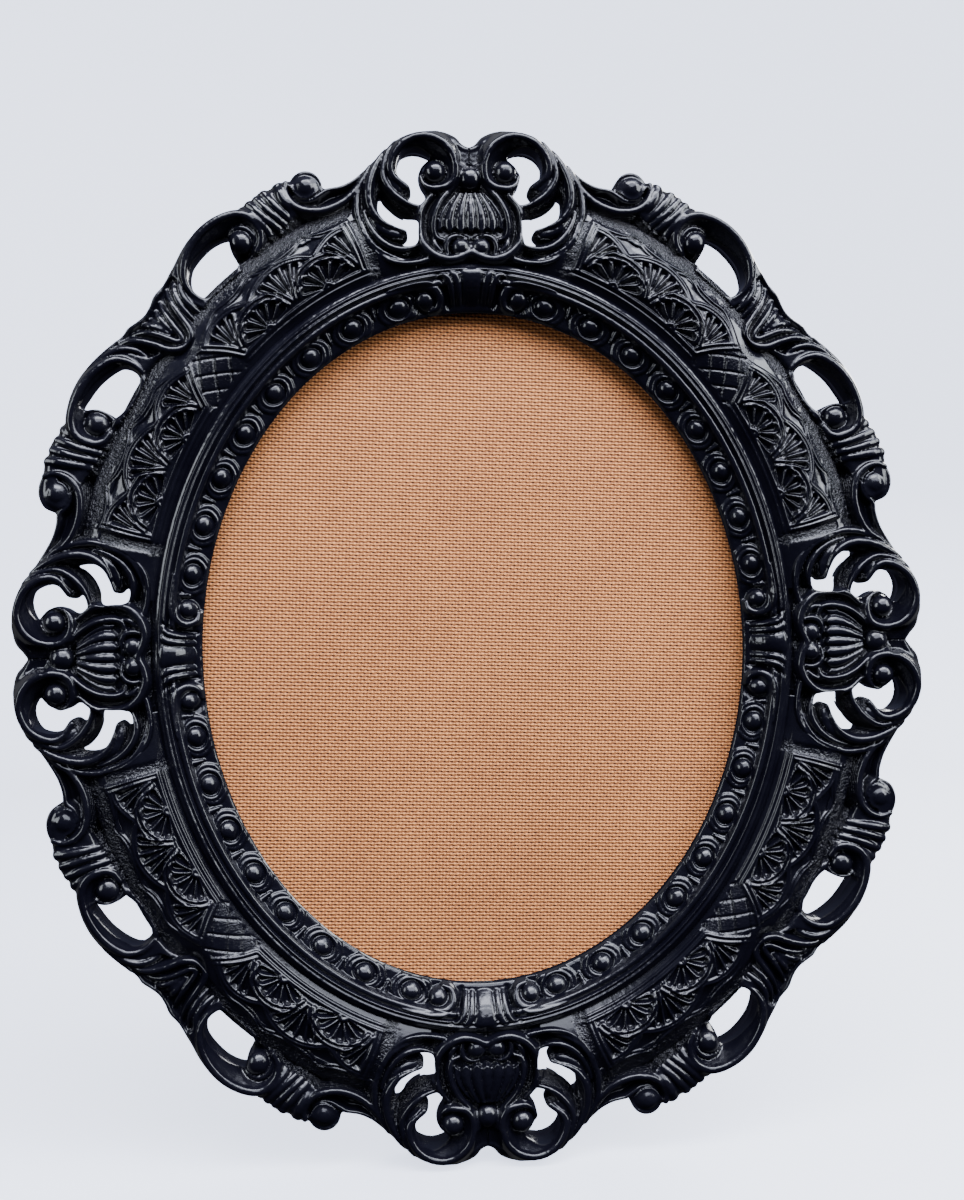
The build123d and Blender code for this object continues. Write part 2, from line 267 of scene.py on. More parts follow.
def rim_field():
    us = np.linspace(0, S_END, 541)
    ws = np.linspace(0, RIM_V, 97)
    F = Field(us, ws)
    v_at = [0, 0.3, 0.7, 1.3, 2.2, 4, 6, 8, 9.8, 10.7, 11.2, 13.6, 14.4, 15.0,
            16.0, 17.4, 18.6, 19.6, 20.6]
    h_at = [10.2, 12.4, 14.4, 15.6, 16.2, 16.7, 17.3, 17.9, 18.5, 18.8, 18.7,
            21.6, 22.2, 23.3, 23.8, 23.6, 22.9, 21.8, 20.6]
    fine = np.linspace(-1, RIM_V + 1, 800)
    prof = np.interp(fine, v_at, h_at)
    prof = np.convolve(np.pad(prof, 6, mode="edge"), np.ones(13) / 13, "valid")
    F.base = np.interp(F.W, fine, prof)
    F.h = F.base.copy()
    S, V = F.U, F.W
    zone = ease((V - 0.7) / 1.0) * ease((11.6 - V) / 0.7)
    for c in EGGS:
        ds = S - c
        w = np.abs(ds) < 10
        e1 = np.sqrt((ds / 7.8) ** 2 + ((V - 6.2) / 5.6) ** 2)
        e2 = np.sqrt((ds / 6.0) ** 2 + ((V - 6.4) / 4.7) ** 2)
        e3 = np.sqrt((ds / 4.3) ** 2 + ((V - 6.6) / 3.9) ** 2)
        z = np.zeros_like(S)
        z -= 1.3 * ease((1.0 - e2) / 0.12)
        z += 0.9 * np.sqrt(np.clip(1 - ((e1 - 1) * 6.4 / 1.0) ** 2, 0, 1))
        z = np.maximum(z, 1.2 * np.sqrt(np.clip(1 - ((e2 - 1) * 5.1 / 0.9) ** 2, 0, 1)))
        z = np.where(e3 < 1, np.maximum(z, -1.3 + 3.9 * np.sqrt(np.clip(1 - e3 ** 2, 0, 1))), z)
        F.h = np.where(w, F.h + z * zone, F.h)
    for c in DARTS + [S_END - 26.3 + 2.0]:
        ds = np.abs(S - c)
        wide = 0.35 + 0.16 * (V - 4.5)
        z = 1.3 * np.sqrt(np.clip(1 - (ds / np.maximum(wide, 0.2)) ** 2, 0, 1))
        F.h = F.h + np.where(ds < 3, z * zone * ease((V - 4.8) / 1.6), 0)
    # bead round the band and the fine lines of the ridge
    F.h = smax(F.h, 23.2 - 1.5 * (1 - np.sqrt(np.clip(1 - ((V - 12.6) / 1.5) ** 2, 0, 1)))
               - 4 * np.maximum(np.abs(V - 12.6) - 1.5, 0), 0.2)
    F.h += 0.55 * np.exp(-((V - 15.2) / 0.5) ** 2) - 0.35 * np.exp(-((V - 16.2) / 0.4) ** 2) \
        + 0.35 * np.exp(-((V - 17.3) / 0.45) ** 2) + 0.3 * np.exp(-((V - 19.2) / 0.45) ** 2)
    # ball scrolls on each side of the clasps: the bead curls in round a ball
    for c, side in ((18.8, 1), (S_END - 18.8, -1)):
        F.h -= 1.2 * np.exp(-(np.hypot(S - c, V - 6.5) / 5.6) ** 6) * zone
        F.bead([(c + side * 13.0, 12.6), (c + side * 7.0, 12.6), (c + side * 2.0, 12.3), (c - side * 3.2, 11.2), (c - side * 5.7, 8.3),
                (c - side * 5.9, 5.2), (c - side * 4.2, 2.9), (c - side * 1.2, 2.3)],
               [1.4, 1.5, 1.6, 1.8, 1.9, 1.7, 1.3, 0.8], [2.3, 2.8, 3.2, 3.8, 4.1, 3.8, 2.8, 1.4], rel=True, step=0.7)
        F.dome((c, 6.6), 4.0, 3.6, rel=True)
    # clasps on the axes: a broad round lobe with two narrow ones on each side
    for c in (0.0, S_END):
        ds = np.abs(S - c)
        half = np.interp(V, [0, 1, 4.5, 8, 11, 13.5, 16.5, 20], [9.0, 8.9, 8.9, 9.1, 9.5, 10.2, 12.4, 13.2])
        at_v = np.linspace(0, RIM_V, 60)
        pad = np.interp(at_v, [0.3, 1.2, 3.5, 5, 7, 9, 11, 13, 15, 16.4, 17.6],
                        [11.6, 14.2, 17.0, 18.6, 20.4, 21.9, 23.1, 23.9, 24.3, 24.3, 24.0])
        pad = np.interp(V, at_v, np.convolve(np.pad(pad, 3, mode="edge"), np.ones(7) / 7, "valid"))
        r = ds / half * 10.0
        end, reed = np.full_like(r, 14.6), np.full_like(r, -1.3)
        for mid, wide, lead, tip, high in ((0.0, 4.1, 1.6, 17.8, 0.7), (5.75, 1.6, 1.8, 17.1, 0.5), (8.6, 1.4, 2.2, 16.3, 0.6)):
            x = np.clip(np.abs(r - mid) / wide, 0, 1)
            y = np.clip(np.abs(2 * V - lead - tip) / (tip - lead), 0, 1)
            end = np.where(x < 1, tip - 2.0 * x ** 2.6, end)
            lobe = -1.3 + (1.3 + high) * np.sqrt(np.clip(1 - x * x - y ** 7, 0, 1))
            reed = np.where(x < 1, lobe, reed)
        z = pad + reed - 7.0 * np.maximum(ds - half, 0) - 6.0 * np.maximum(V - end, 0) - 4.0 * np.maximum(1.3 - V, 0)
        gap = np.exp(-((ds - half - 0.7) / 0.8) ** 2) * ease((V - 1.5) / 1.5) * ease((17.0 - V) / 1.5)
        F.h = np.where(ds < 16, smax(F.h - 1.0 * gap, z, 0.15), F.h)
    F.h += 0.022 * grain(F.h.shape, 11, 2, 3)
    return F


# --------------------------------------------------------------- frieze
HALF = 99.75             # the frieze's ornament is alike on both sides of this


def cushion(v):
    """Plain section of the frieze, falling away to the scroll border."""
    up = 26.1 - 5.3 * np.clip((36.5 - v) / 16.5, 0, 1) ** 2.0
    down = 26.1 - 10.6 * np.clip((v - 36.5) / 23.5, 0, 1.06) ** 1.7
    return np.where(v < 36.5, up, down)


def frieze_field():
    us = np.arange(22.0, 178.0, 0.30)
    ws = np.linspace(FRIEZE_V0, FRIEZE_V1, 110)
    F = Field(us, ws)
    V = F.W
    F.base = cushion(V)
    F.h = F.base.copy() - 0.5 * ease((V - 53.6) / 1.2)

    def both(pts):
        p = np.array(pts, float)
        return p, np.stack([2 * HALF - p[:, 0], p[:, 1]], 1)

    def line(pts, hw=0.62, top=0.75):
        for p in both(pts):
            F.bead(p, hw, top, k=0.25, rel=True, wall=1.6)

    def fans(base, a0, a1, n, r0, radius, depth):
        F.fan(base, a0, a1, n, r0, radius, depth)
        F.fan((2 * HALF - base[0], base[1]), 180 - a1, 180 - a0, n, r0,
              ([180 - a for a in reversed(radius[0])], list(reversed(radius[1]))), depth)

    # sunk ground of the two fan panels
    panel = [(36.4, 25.6), (60, 25.4), (87.6, 25.6), (91.4, 31.4), (94.6, 36.4),
             (96.6, 40.2), (92, 43.4), (88, 45.6), (84.5, 46.8), (80, 46.2),
             (75, 46.8), (70, 49.0), (65, 47.0), (60, 46.2), (55, 46.9),
             (50, 49.2), (45, 46.8), (40, 46.3), (36.6, 47.0), (36.2, 36)]
    for p in both(panel):
        ring = np.vstack([p, p[:1]])
        w = F.window(p, 2)
        m = inside(F.U[w], F.W[w], p)
        d, _ = near(F.U[w], F.W[w], ring)
        F.h[w] -= 0.55 * np.where(m, ease(d / 1.0), 0)
    # lower fans and their double arches
    for c in (50.4, 75.2):
        ang = np.radians(np.linspace(14, 166, 13))
        for k, top in ((1.0, 0.95), (0.865, 0.8)):
            line([(c + 12.2 * k * math.cos(a), 25.4 + 12.9 * k * math.sin(a)) for a in ang], 0.62, top)
        deg = np.linspace(0, 180, 37)
        rad = 0.80 / np.sqrt((np.cos(np.radians(deg)) / 12.2) ** 2 + (np.sin(np.radians(deg)) / 12.9) ** 2)
        fans((c, 25.6), 10, 170, 6, 1.6, (list(deg), list(rad)), 1.5)
        line([(c - 1.2, 25.8), (c, 26.8), (c + 1.2, 25.8)], 0.8, 1.0)
    # upper fans
    fans((62.7, 27.0), 58, 122, 5, 5.0, ([0, 60, 75, 90, 105, 120, 180],
                                         [15, 15.6, 16.9, 17.2, 16.9, 15.6, 15]), 1.4)
    fans((37.6, 28.6), 48, 88, 3, 5.0, ([0, 48, 70, 88, 180], [13.5, 13.8, 15.6, 15.8, 15]), 1.4)
    fans((88.0, 27.0), 66, 119, 4, 5.0, ([0, 66, 80, 95, 119, 180], [13, 14.4, 15.8, 16.2, 15.2, 15]), 1.4)
    for arc in ([(38.2, 45.4), (42, 45.0), (46, 42.8), (49.8, 39.6)],
                [(50.8, 39.6), (54, 42.5), (58.3, 44.5), (62.7, 45.2), (67, 44.4), (71.6, 42.3), (74.8, 39.6)],
                [(75.6, 39.6), (79, 42.4), (83.5, 44.0), (88, 43.8), (92, 42.0), (95.2, 39.8)]):
        line(arc, 0.6, 0.85)
        line([(s, v - 1.35) for s, v in arc], 0.5, 0.6)
    # panel borders
    for v, top in ((22.9, 0.55), (25.0, 0.8)):
        line([(35.6 + (88.0 - 35.6) * k / 12, v) for k in range(13)], 0.6, top)
    for ds in (0.0, 1.6):
        line([(36.0 + ds, 25.0), (35.9 + ds, 32), (36.2 + ds, 40), (36.6 + ds, 47)], 0.55, 0.75)
        line([(88.6 - ds * 0.9, 25.4 + ds * 0.8), (91.6 - ds, 31.4 + ds * .5), (94.6 - ds, 36.4 + ds * .5),
              (97.0 - ds, 40.4 + ds * .5)], 0.55, 0.8)
    wave = [(36.2, 47.3), (40, 46.4), (45, 47.0), (50, 49.4), (55, 47.0), (60, 46.3), (65, 47.1),
            (70, 49.3), (75, 46.8), (80, 46.2), (84.5, 47.0), (88.5, 45.2), (92.5, 42.8), (96.4, 40.2)]
    line(wave, 0.55, 0.75)
    line([(s, v - 1.5) for s, v in wave], 0.4, 0.35)
    # the lozenges between the arches are dished
    for c, v0 in ((50.3, 44.6), (74.4, 43.6), (99.0, 47.0)):
        for m in (c, 2 * HALF - c):
            F.h -= 0.95 * np.exp(-((F.U - m) / 3.2) ** 2 - ((V - v0) / 3.0) ** 2) * ease((V - 39.0) / 2.0)
    # lattice between the panels, cut in
    for s0 in np.arange(HALF - 3.9 - 7.8 * 2, HALF + 3.9 + 7.8 * 2.5, 7.8):
        for p in both([(s0 - 11.0, 46.5), (s0, 34.0), (s0 + 10.6, 22.0)]):
            q = smooth(p, 0.8)
            edge = np.interp(q[:, 1], [22, 25.4, 31.4, 36.4, 40.4, 44, 47], [89.0, 89.8, 92.6, 95.5, 98.0, 99.0, 99.4])
            q = q[(q[:, 0] > edge) & (q[:, 0] < 2 * HALF - edge) & (q[:, 1] < 44.5)]
            if len(q) > 2:
                F.groove(q[::2] if len(q) > 5 else q, 0.36, 0.70)
    # plain strips at the ends
    for c in (33.4, 2 * HALF - 33.4):
        F.h -= 0.7 * np.exp(-((F.U - c) / 1.9) ** 4) * ease((V - 24) / 2)
    # rough cast ground outside the panels
    F.matt = 0.9 * ease((V - 47.0) / 2) + 0.6 * np.exp(-((np.abs(F.U - HALF) - 66.3) / 2.2) ** 4)
    ground = F.matt
    F.matt = np.maximum(F.matt, 0.22 * ease((4.0 + (42.0 - V) * 0.42 - np.abs(F.U - HALF)) / 1.5) * ease((V - 22.5) / 1.5))
    F.h += grain(F.h.shape, 5, 1, 2) * 0.12 * ground + grain(F.h.shape, 6, 3, 3) * 0.010
    return F


# --------------------------------------------------------- scroll border
OUTLINE = [
    [(0, 215.2), (2.6, 216.6), (5, 219.4), (9, 221.4), (12.5, 222.0), (18, 220.9),
     (25, 219.6), (31, 217.3), (36, 213.4), (40.5, 209.2), (45, 204.8), (50, 200.6),
     (55, 198.2), (60, 197.2), (62.6, 197.4)],
    [(62.6, 197.4), (63.6, 200.6), (66.2, 203.2), (70, 204.2), (73.6, 203.2), (76.4, 200.4)],
    [(76.4, 200.4), (79.5, 200.0), (83, 198.2), (86.0, 196.6), (89.6, 195.4), (92.4, 192.4),
     (95.4, 190.6), (98.4, 187.8)],
    [(98.4, 187.8), (104, 185.9), (110.5, 182.6), (117, 177.2), (122.5, 170.4), (127, 162.8),
     (130.6, 156.4), (134.4, 152.0), (136.4, 147.4), (138.6, 143.8), (142, 141.0),
     (145.6, 138.4), (147.6, 135.4), (151, 132.6), (156, 128.6), (161.4, 123.4),
     (166.2, 116.6), (169.6, 109.0), (171.2, 102.4), (171.6, 98.6)],
    [(171.6, 98.6), (174.2, 97.0), (175.0, 93.6), (177.8, 90.4), (178.8, 86.6), (180.8, 82.6),
     (181.6, 77.2)],
    [(181.6, 77.2), (183.0, 72.6), (183.0, 67.6), (180.8, 63.2), (176.6, 61.0)],
    [(176.6, 61.0), (176.6, 56.0), (178.6, 50.0), (182.6, 43.4), (187, 37.0), (191.0, 30.6),
     (193.8, 23.0), (195.2, 15.6), (195.6, 11.2), (194.6, 6.4), (191.6, 2.6), (189.6, 0)],
]
HOLE_B = [(103.5, 176.4), (108.8, 174.6), (113.6, 170.4), (117.4, 165.2), (119.0, 159.6), (118.4, 155.2),
          (115.6, 151.8), (111.5, 150.6), (107.5, 153.3), (103, 157.5), (99.5, 162),
          (98.8, 165), (100.5, 168), (102, 172)]
HOLE_C = [(140.6, 116.4), (143, 120.2), (147.8, 121.8), (152.8, 119.6), (158.2, 115.2), (162.4, 109.8),
          (164.9, 104.8), (158, 104.1), (153.5, 102.3), (150.5, 100.8), (147, 103.5),
          (143, 109), (141.2, 112.5)]
HOLE_UP = [(16.6, 211.4), (20.2, 213.6), (24.4, 214.2), (28.9, 211.8), (31.1, 206.2), (29.9, 201.2), (26.0, 198.4),
           (25.2, 195.4), (26.6, 193.0), (25.2, 190.7), (21.0, 190.3), (18.8, 194.5),
           (21.0, 198.9), (21.8, 203.0), (20.6, 207.2), (18.2, 209.8)]
HOLE_LOW = [(22.4, 185.0), (28, 185.8), (33, 188.0), (36.8, 191.4), (38.8, 194.4),
            (39.4, 188.4), (37.2, 183.2), (32.4, 180.4), (27.6, 178.8), (27.0, 176.6),
            (28.8, 174.2), (27.2, 172.4), (24.0, 172.8), (22.2, 175.4), (22.0, 180.0)]
# the cartouche's outer ridge, towards the frieze
CART_RIDGE = [(46.0, 199.0), (47.6, 195.0), (48.2, 191.0), (48.3, 187), (47.6, 182.5),
              (46, 177.5), (43.4, 172.8), (39.6, 168.6), (35, 165.6), (29.5, 164.4),
              (23.5, 164.8), (18, 166.4)]
CART_AREA = [(-8, 164.0), (0, 164.2), (5, 164.2), (10, 163.4), (15, 163.8), (18, 164.4), (23.5, 163.8),
             (29.5, 163.4), (35.4, 164.6), (40.4, 167.8), (44.4, 172.2), (47.0, 177.1),
             (48.7, 182.3), (49.4, 187), (49.3, 191.0), (48.7, 195.4), (52, 200), (48, 206),
             (36, 218), (12, 226), (-8, 226)]


def to_side(points):
    return [(z - CART_SHIFT, x) for x, z in points]


def cartouche(F, at, lx, lz):
    """Shell cup between two volutes; at() carries the drawing into place, and
    lx, lz are the drawing's own coordinates over the grid."""
    def bead(pts, hw, top, **kw):
        F.bead(at(pts), hw, top, **kw)

    def mirrored(pts):
        return [(-x, z) for x, z in pts]

    # ground: sunk between the ridges
    F.level(at([(-6, 164.6), (4, 165.0), (16, 165.6), (30, 166.5), (41, 172), (46, 182), (47, 191),
                (44, 199), (38, 208), (30, 214.5), (20, 217.5), (10, 214), (4, 208), (-6, 206)]), 17.0, 2.0)
    # outer ridge with a groove inside it
    bead(CART_RIDGE, 1.25, [23.0, 24.6, 25.0, 25.0, 24.0])
    bead([(45.2, 191), (45.4, 186), (44.4, 181.5), (42.6, 177)], 0.8, [21, 22, 22, 21])
    # lower C scroll: lip, back and tongue
    bead([(36.0, 213.0), (39.4, 207), (42.0, 201), (43.2, 195.4), (43.0, 190.2), (41.4, 186.2),
          (38.4, 182.8), (34.6, 180.9), (30.8, 180.0), (28.0, 178.5)],
         [1.0, 1.4, 1.6, 1.7, 1.6, 1.3], [22.5, 24.5, 25.5, 25.5, 25, 23.5])
    bead([(40.0, 203.0), (40.9, 198.5), (40.4, 195.0), (39.2, 192.6)], 0.8, [22, 22.6, 22.3, 20])
    bead([(27.8, 176.9), (30.5, 177.1), (34.5, 178.0), (38.5, 180.0), (41.5, 183.4)],
         [2.0, 2.5, 2.5, 2.2, 1.6], [21.5, 23, 23.5, 23.8, 23])
    bead([(45.2, 186.5), (44.0, 182.4), (41.9, 178.2), (39, 174.6), (35, 171.8), (30.5, 170.6), (26.2, 171.2),
          (23.2, 172.8)], [0.9, 1.2, 1.3, 1.2, 0.9], [23, 24.6, 25, 24.5, 23])
    # volute: outer lip that winds in round the eye
    bead([(27.2, 197.3), (29.8, 199.2), (32.6, 201.4), (33.9, 204.6), (33.1, 208.5), (30.8, 212.4), (27.6, 215.5),
          (23.6, 217.4), (19.2, 218.1), (14.6, 217.1), (10.4, 214.5), (7.4, 210.4), (6.1, 205.4), (6.6, 200.8),
          (9.0, 197.6), (13, 196.2), (17.2, 196.6), (20.2, 198.6), (21.4, 201.8)],
         [1.3, 1.6, 1.7, 1.7, 1.7, 1.6, 1.5, 1.4, 0.9], [23.6, 25.5, 26.4, 26.8, 26.8, 26.4, 25.8, 25.0, 23.0], step=0.8, wall=1.4)
    bead([(31.8, 216.2), (35.0, 211.2), (36.6, 206.2), (37.0, 201.6), (35.4, 197.6), (32.4, 193.9), (28.6, 191.1),
          (24.8, 189.5), (21.6, 188.7)], [0.9, 1.1, 1.2, 1.2, 1.0], [23.4, 24.4, 24.8, 24.6, 23.4])
    bead([(27.9, 196.0), (30.2, 196.4), (32.4, 198.2), (34.6, 201.4)], [2.1, 2.4, 2.0, 1.2], [21.6, 23, 23.6, 23])
    turn = np.radians(np.linspace(-60, -260, 22))
    bead([(14.9 + 5.9 * math.cos(t), 203.4 + 5.9 * math.sin(t)) for t in turn],
         [0.6, 0.8, 0.8, 0.7, 0.5], [21.4, 22.6, 22.8, 22.0, 19], step=0.8)
    F.dome(at([(15.0, 203.5)])[0], 4.8, 26.2)
    # saddle and nose between the volutes
    F.level(at([(-6.2, 216.0), (0, 214.8), (6.2, 216.0), (6.0, 211), (5.2, 206), (-5.2, 206), (-6.0, 211)]), 20.6, 2.6)
    bead([(7.0, 218.4), (12, 220.2), (19, 219.8), (26, 217.9), (32, 214.8)],
         [0.6, 1.0, 1.0, 1.0, 0.8], [18, 22.6, 23.2, 23.2, 22.4])
    F.dome(at([(0, 200.9)])[0], 5.4, 25.6, wall=3.0)
    # cup
    F.pillow(at([(-21.6, 185.2), (-21.8, 177.2), (-19.0, 170.4), (-14.5, 167.0), (-9.5, 165.8), (-4.5, 167.0), (0, 168.6),
                 (4.5, 167.0), (9.5, 165.8), (14.5, 167.0), (19.0, 170.4), (21.8, 177.2), (21.6, 185.2), (18.6, 191.2),
                 (13.5, 194.4), (8.0, 195.4), (6.0, 193.6), (-6.0, 193.6), (-8.0, 195.4), (-13.5, 194.4), (-18.6, 191.2)]),
             22.0, 19.0, 7.0)
    for sign in (1, -1):
        m = mirrored if sign < 0 else (lambda p: p)
        bead(m([(16.4, 193.4), (20.4, 188.4), (22.0, 182.4), (21.9, 177.2), (20.6, 173.0), (17.6, 169.4), (13.8, 167.1),
                (9.5, 166.1), (5.0, 167.0), (1.4, 168.8), (0, 169.8)]),
             [1.0, 1.4, 1.6, 1.7, 1.6, 1.3], [23.5, 25, 25.8, 26, 25.8, 25.2])
        # hollow side of the cup and its inner edge
        F.groove(at(m([(12.8, 194.2), (16.8, 190.0), (18.8, 184.8), (18.9, 179.2), (17.7, 174.8), (14.6, 171.2)])),
                 [1.4, 1.8, 2.0, 1.5], [0.8, 1.6, 1.7, 1.4])
        bead(m([(7.6, 196.6), (11.6, 192.2), (14.6, 187.0), (15.8, 182.2), (15.9, 178.2), (14.6, 175.4), (11.8, 174.4)]),
             [0.7, 0.9, 1.0, 1.0, 0.7], [24.2, 25.2, 25.6, 25.2, 23.8])
        # curls under the shell
        bead(m([(9.6, 167.8), (10.6, 171.2), (9.2, 174.8), (5.6, 176.0), (2.2, 175.2)]), [0.9, 1.1, 1.0, 0.7], [24.2, 24.8, 24.6, 23.4])
        F.groove(at(m([(8.8, 168.4), (9.0, 171.6), (7.2, 174.4), (3.8, 175.0)])), 0.6, 1.4)
        F.dome(at(m([(4.4, 171.4)]))[0], 3.9, 26.0)
        bead(m([(12.8, 169.6), (15.2, 172.0), (16.0, 175.4)]), [0.8, 1.1, 0.7], [24.0, 24.6, 23.8])
    # fluted shell: narrow by the nose, spreading to a scalloped edge
    t = (lz - 177.4) / 16.9
    half = np.interp(t, [-0.2, 0, 0.1, 0.3, 0.5, 0.67, 0.85, 1.0, 1.2], [12.6, 13.4, 13.9, 14.0, 12.8, 11.0, 8.4, 6.2, 4.2])
    q = np.clip(lx / half, -1, 1)
    crest = np.abs(np.cos(3.0 * math.pi * q)) ** 0.6
    scallop = np.cos(3.0 * math.pi * q) ** 2
    body = 21.4 + 3.5 * np.sqrt(1 - 0.85 * q * q) * np.interp(t, [0, 0.25, 0.5, 0.75, 1.0], [0.80, 1.0, 1.0, 0.85, 0.5])
    out = np.maximum(np.abs(lx) - half, np.maximum((t - 1.0) * 16.9, (0.10 * (1 - scallop) + 0.07 * q * q - t) * 16.9))
    z = body - 0.7 + 1.8 * crest - 5.0 * np.maximum(out, 0)
    F.h = np.where((t > -0.3) & (t < 1.3) & (np.abs(lx) < 18), smax(F.h, z, 0.15), F.h)


def border_fields(step):
    """Front height and in-plane distance to the edge for one quarter."""
    us = np.arange(-0.5 * step, 198.0, step)
    ws = np.arange(-0.5 * step, 225.0, step)
    F = Field(us, ws, 13.0)
    X, Z = F.U, F.W
    ax, az = np.abs(X), np.abs(Z)
    sil = np.vstack([smooth(r, 0.8)[:-1] for r in OUTLINE] + [np.array([[189.6, 0.0]])])
    wrap = np.vstack([np.stack([-sil[1:14][::-1, 0], sil[1:14][::-1, 1]], 1), sil,
                      np.stack([sil[-14:-1][::-1, 0], -sil[-14:-1][::-1, 1]], 1)])
    d_edge, _ = near(X, Z, wrap)
    full = np.vstack([sil, np.stack([sil[:, 0], -sil[:, 1]], 1)[::-1][1:],
                      -sil[1:], np.stack([-sil[:, 0], sil[:, 1]], 1)[::-1][1:-1]])
    d_edge = np.where(inside(X, Z, full), -d_edge, d_edge)
    depth = np.maximum(-d_edge, 0)

    inner = [(45.6, 200.5), (47.6, 196.8), (50.6, 193.4), (54.6, 190.2), (59.2, 187.8), (64.2, 186.4),
             (69, 186.3), (73.4, 184.9), (77, 181.2), (80.6, 178.6), (84.4, 175.8), (87.4, 172.8),
             (92, 166.6), (97, 161.6), (104, 155.4), (110, 150.2), (112.6, 145.6), (115.4, 140.4), (116.9, 135.4),
             (116.8, 131.4), (119.2, 128.2), (123.2, 126.6), (128.4, 126.4), (132.6, 124.4), (136.6, 119.4),
             (139, 113), (143, 105.6), (147.6, 99.6), (151.2, 94.2), (153.6, 89.6), (156.6, 85.0), (158.8, 81.0),
             (161.6, 77.6), (164.6, 74.0), (165.0, 68), (165.1, 62), (166.3, 56.4), (168.8, 51.2), (172.4, 46.9),
             (177.5, 44.0)]
    solid = np.vstack([sil, np.array([[177.5, 0.0]]), smooth(inner[::-1], 1.0), np.array([[0.0, 200.5]])])
    edge = 19.3 + 2.9 * (1 - (1 - np.clip(depth / 4.2, 0, 1)) ** 2)
    s, v = unplace(ax, az)
    in_solid = inside(X, Z, solid)
    F.matt = np.where(in_solid, 0.0, 1.0)
    F.h = np.where(in_solid, edge, cushion(v) - 0.12 + 0.07 * grain(X.shape, 8, 2, 2))

    # recesses round the pierced openings of the C scrolls
    lip_b = [(90.5, 170.2), (88.9, 173.4), (88.8, 177.4), (90.6, 181.4), (94.4, 184.4), (99.5, 185.2), (106, 183.2),
             (112, 179.2), (117, 173.4), (120.2, 166.8), (121.2, 160.4), (120.2, 155.8), (117.4, 152.2), (113.8, 149.8)]
    lip_c = [(139.2, 119.6), (142.4, 122.5), (146.5, 124.2), (150.8, 124.4), (155.5, 122.1), (160.3, 117.9),
             (164.5, 112.2), (167.3, 105.7), (168.6, 99.5), (167.6, 94.5), (164.4, 91.2), (160, 89.6), (155.8, 90.6),
             (153.2, 93.8)]
    F.level(lip_b + [(110, 152.6), (104, 158.0), (100.0, 163.2), (95.6, 165.6)], 14.0, 2.2)
    F.level(lip_c + [(149.6, 101.4), (145.0, 107.4), (141.2, 114)], 14.0, 2.2)
    # shadowed trench between the frieze and the rails, clasps and balls
    F.groove([(50, 192.0), (56, 187.0), (64, 184.0), (71, 182.6), (77.5, 178.6), (84, 173.4), (90.5, 167.6), (95.8, 164.0)],
             [1.6, 2.2, 2.2, 2.6, 2.6, 1.8], [3, 5, 5, 6, 6, 4])
    F.groove([(112.0, 144.6), (114.6, 139.4), (115.6, 134.0), (116.2, 129.6), (119.4, 126.4), (125, 124.8), (131.4, 123.4),
              (136.6, 118.6)], [1.2, 1.6, 1.4, 1.4, 1.6, 1.4], [3, 4, 4, 4, 4, 3])
    F.groove([(171.5, 45.6), (167.0, 50.8), (164.4, 56.4), (163.4, 62), (163.2, 69), (160.6, 75.6), (157.0, 80.6), (153.4, 87.0),
              (149.8, 95.0)], [1.4, 2.0, 2.2, 2.4, 2.4, 1.8], [3, 4.5, 5, 6, 6, 4])

    # sweeping rails, hollow across
    def hollow(u):
        return 17.6 + 4.6 * u ** 1.4 - 1.3 * np.sin(math.pi * u)

    F.band([(30, 218.2), (36, 213.8), (40.5, 209.6), (45, 205.2), (50, 201.0), (55, 198.6), (60, 197.4), (63.5, 196.4),
            (66.5, 193.2), (70, 192.0), (73.5, 193), (75.5, 196)],
           [(42.6, 206.0), (45.4, 200.4), (47.8, 196.6), (51.0, 193.0), (55.0, 190.0), (59.4, 187.8), (64.2, 186.6), (69, 186.6),
            (73.6, 188.0), (77, 191.2), (78.8, 195.4), (78.4, 199)], hollow)
    F.band([(189.6, 33.6), (187, 37.4), (182.8, 43.6), (178.8, 50.2), (176.8, 56.0), (176.0, 61.4), (172.0, 63.8), (170.2, 67.5),
            (171.2, 72), (174.6, 74.4)],
           [(181.4, 40.4), (177.6, 44.2), (172.8, 46.9), (169.2, 51.2), (166.8, 56.4), (165.6, 62), (165.7, 67.8),
            (167.4, 72.8), (171.2, 76.4), (176, 77.8)], hollow)
    F.bead([(42.6, 206.0), (45.4, 200.4), (47.8, 196.6), (51.0, 193.0), (55.0, 190.0), (59.4, 187.9), (64.2, 186.8), (69, 186.9),
            (73.4, 188.3), (76.7, 191.4), (78.4, 195.4), (78.0, 198.8)], [0.9, 1.3, 1.5, 1.4, 1.1], [22.5, 23.6, 24, 24, 22.5])
    F.bead([(38.0, 211.0), (43.5, 205.2), (49, 200.4), (54.5, 197.4), (60, 196.2), (63.4, 194.2), (67, 191.9), (71.2, 191.6),
            (74.2, 193.4)], [0.7, 0.9, 1.0, 0.9, 0.7], [21, 21.4, 21.8, 22, 21])
    F.bead([(180.8, 41.0), (177.4, 44.4), (172.9, 47.1), (169.5, 51.3), (167.1, 56.5), (165.9, 62), (166.0, 67.7),
            (167.7, 72.6), (171.4, 76.0), (176, 77.4), (180.4, 76.4)], [0.9, 1.3, 1.5, 1.4, 1.1], [22.5, 23.6, 24, 24, 22.5])
    F.bead([(186, 36.6), (181.4, 43.4), (177.6, 50), (175.4, 56.2), (174.6, 60.6), (171.6, 63.4), (169.8, 67.4), (170.6, 71.6),
            (173.2, 74)], [0.7, 0.9, 1.0, 0.9, 0.7], [21, 21.4, 21.8, 22, 21])
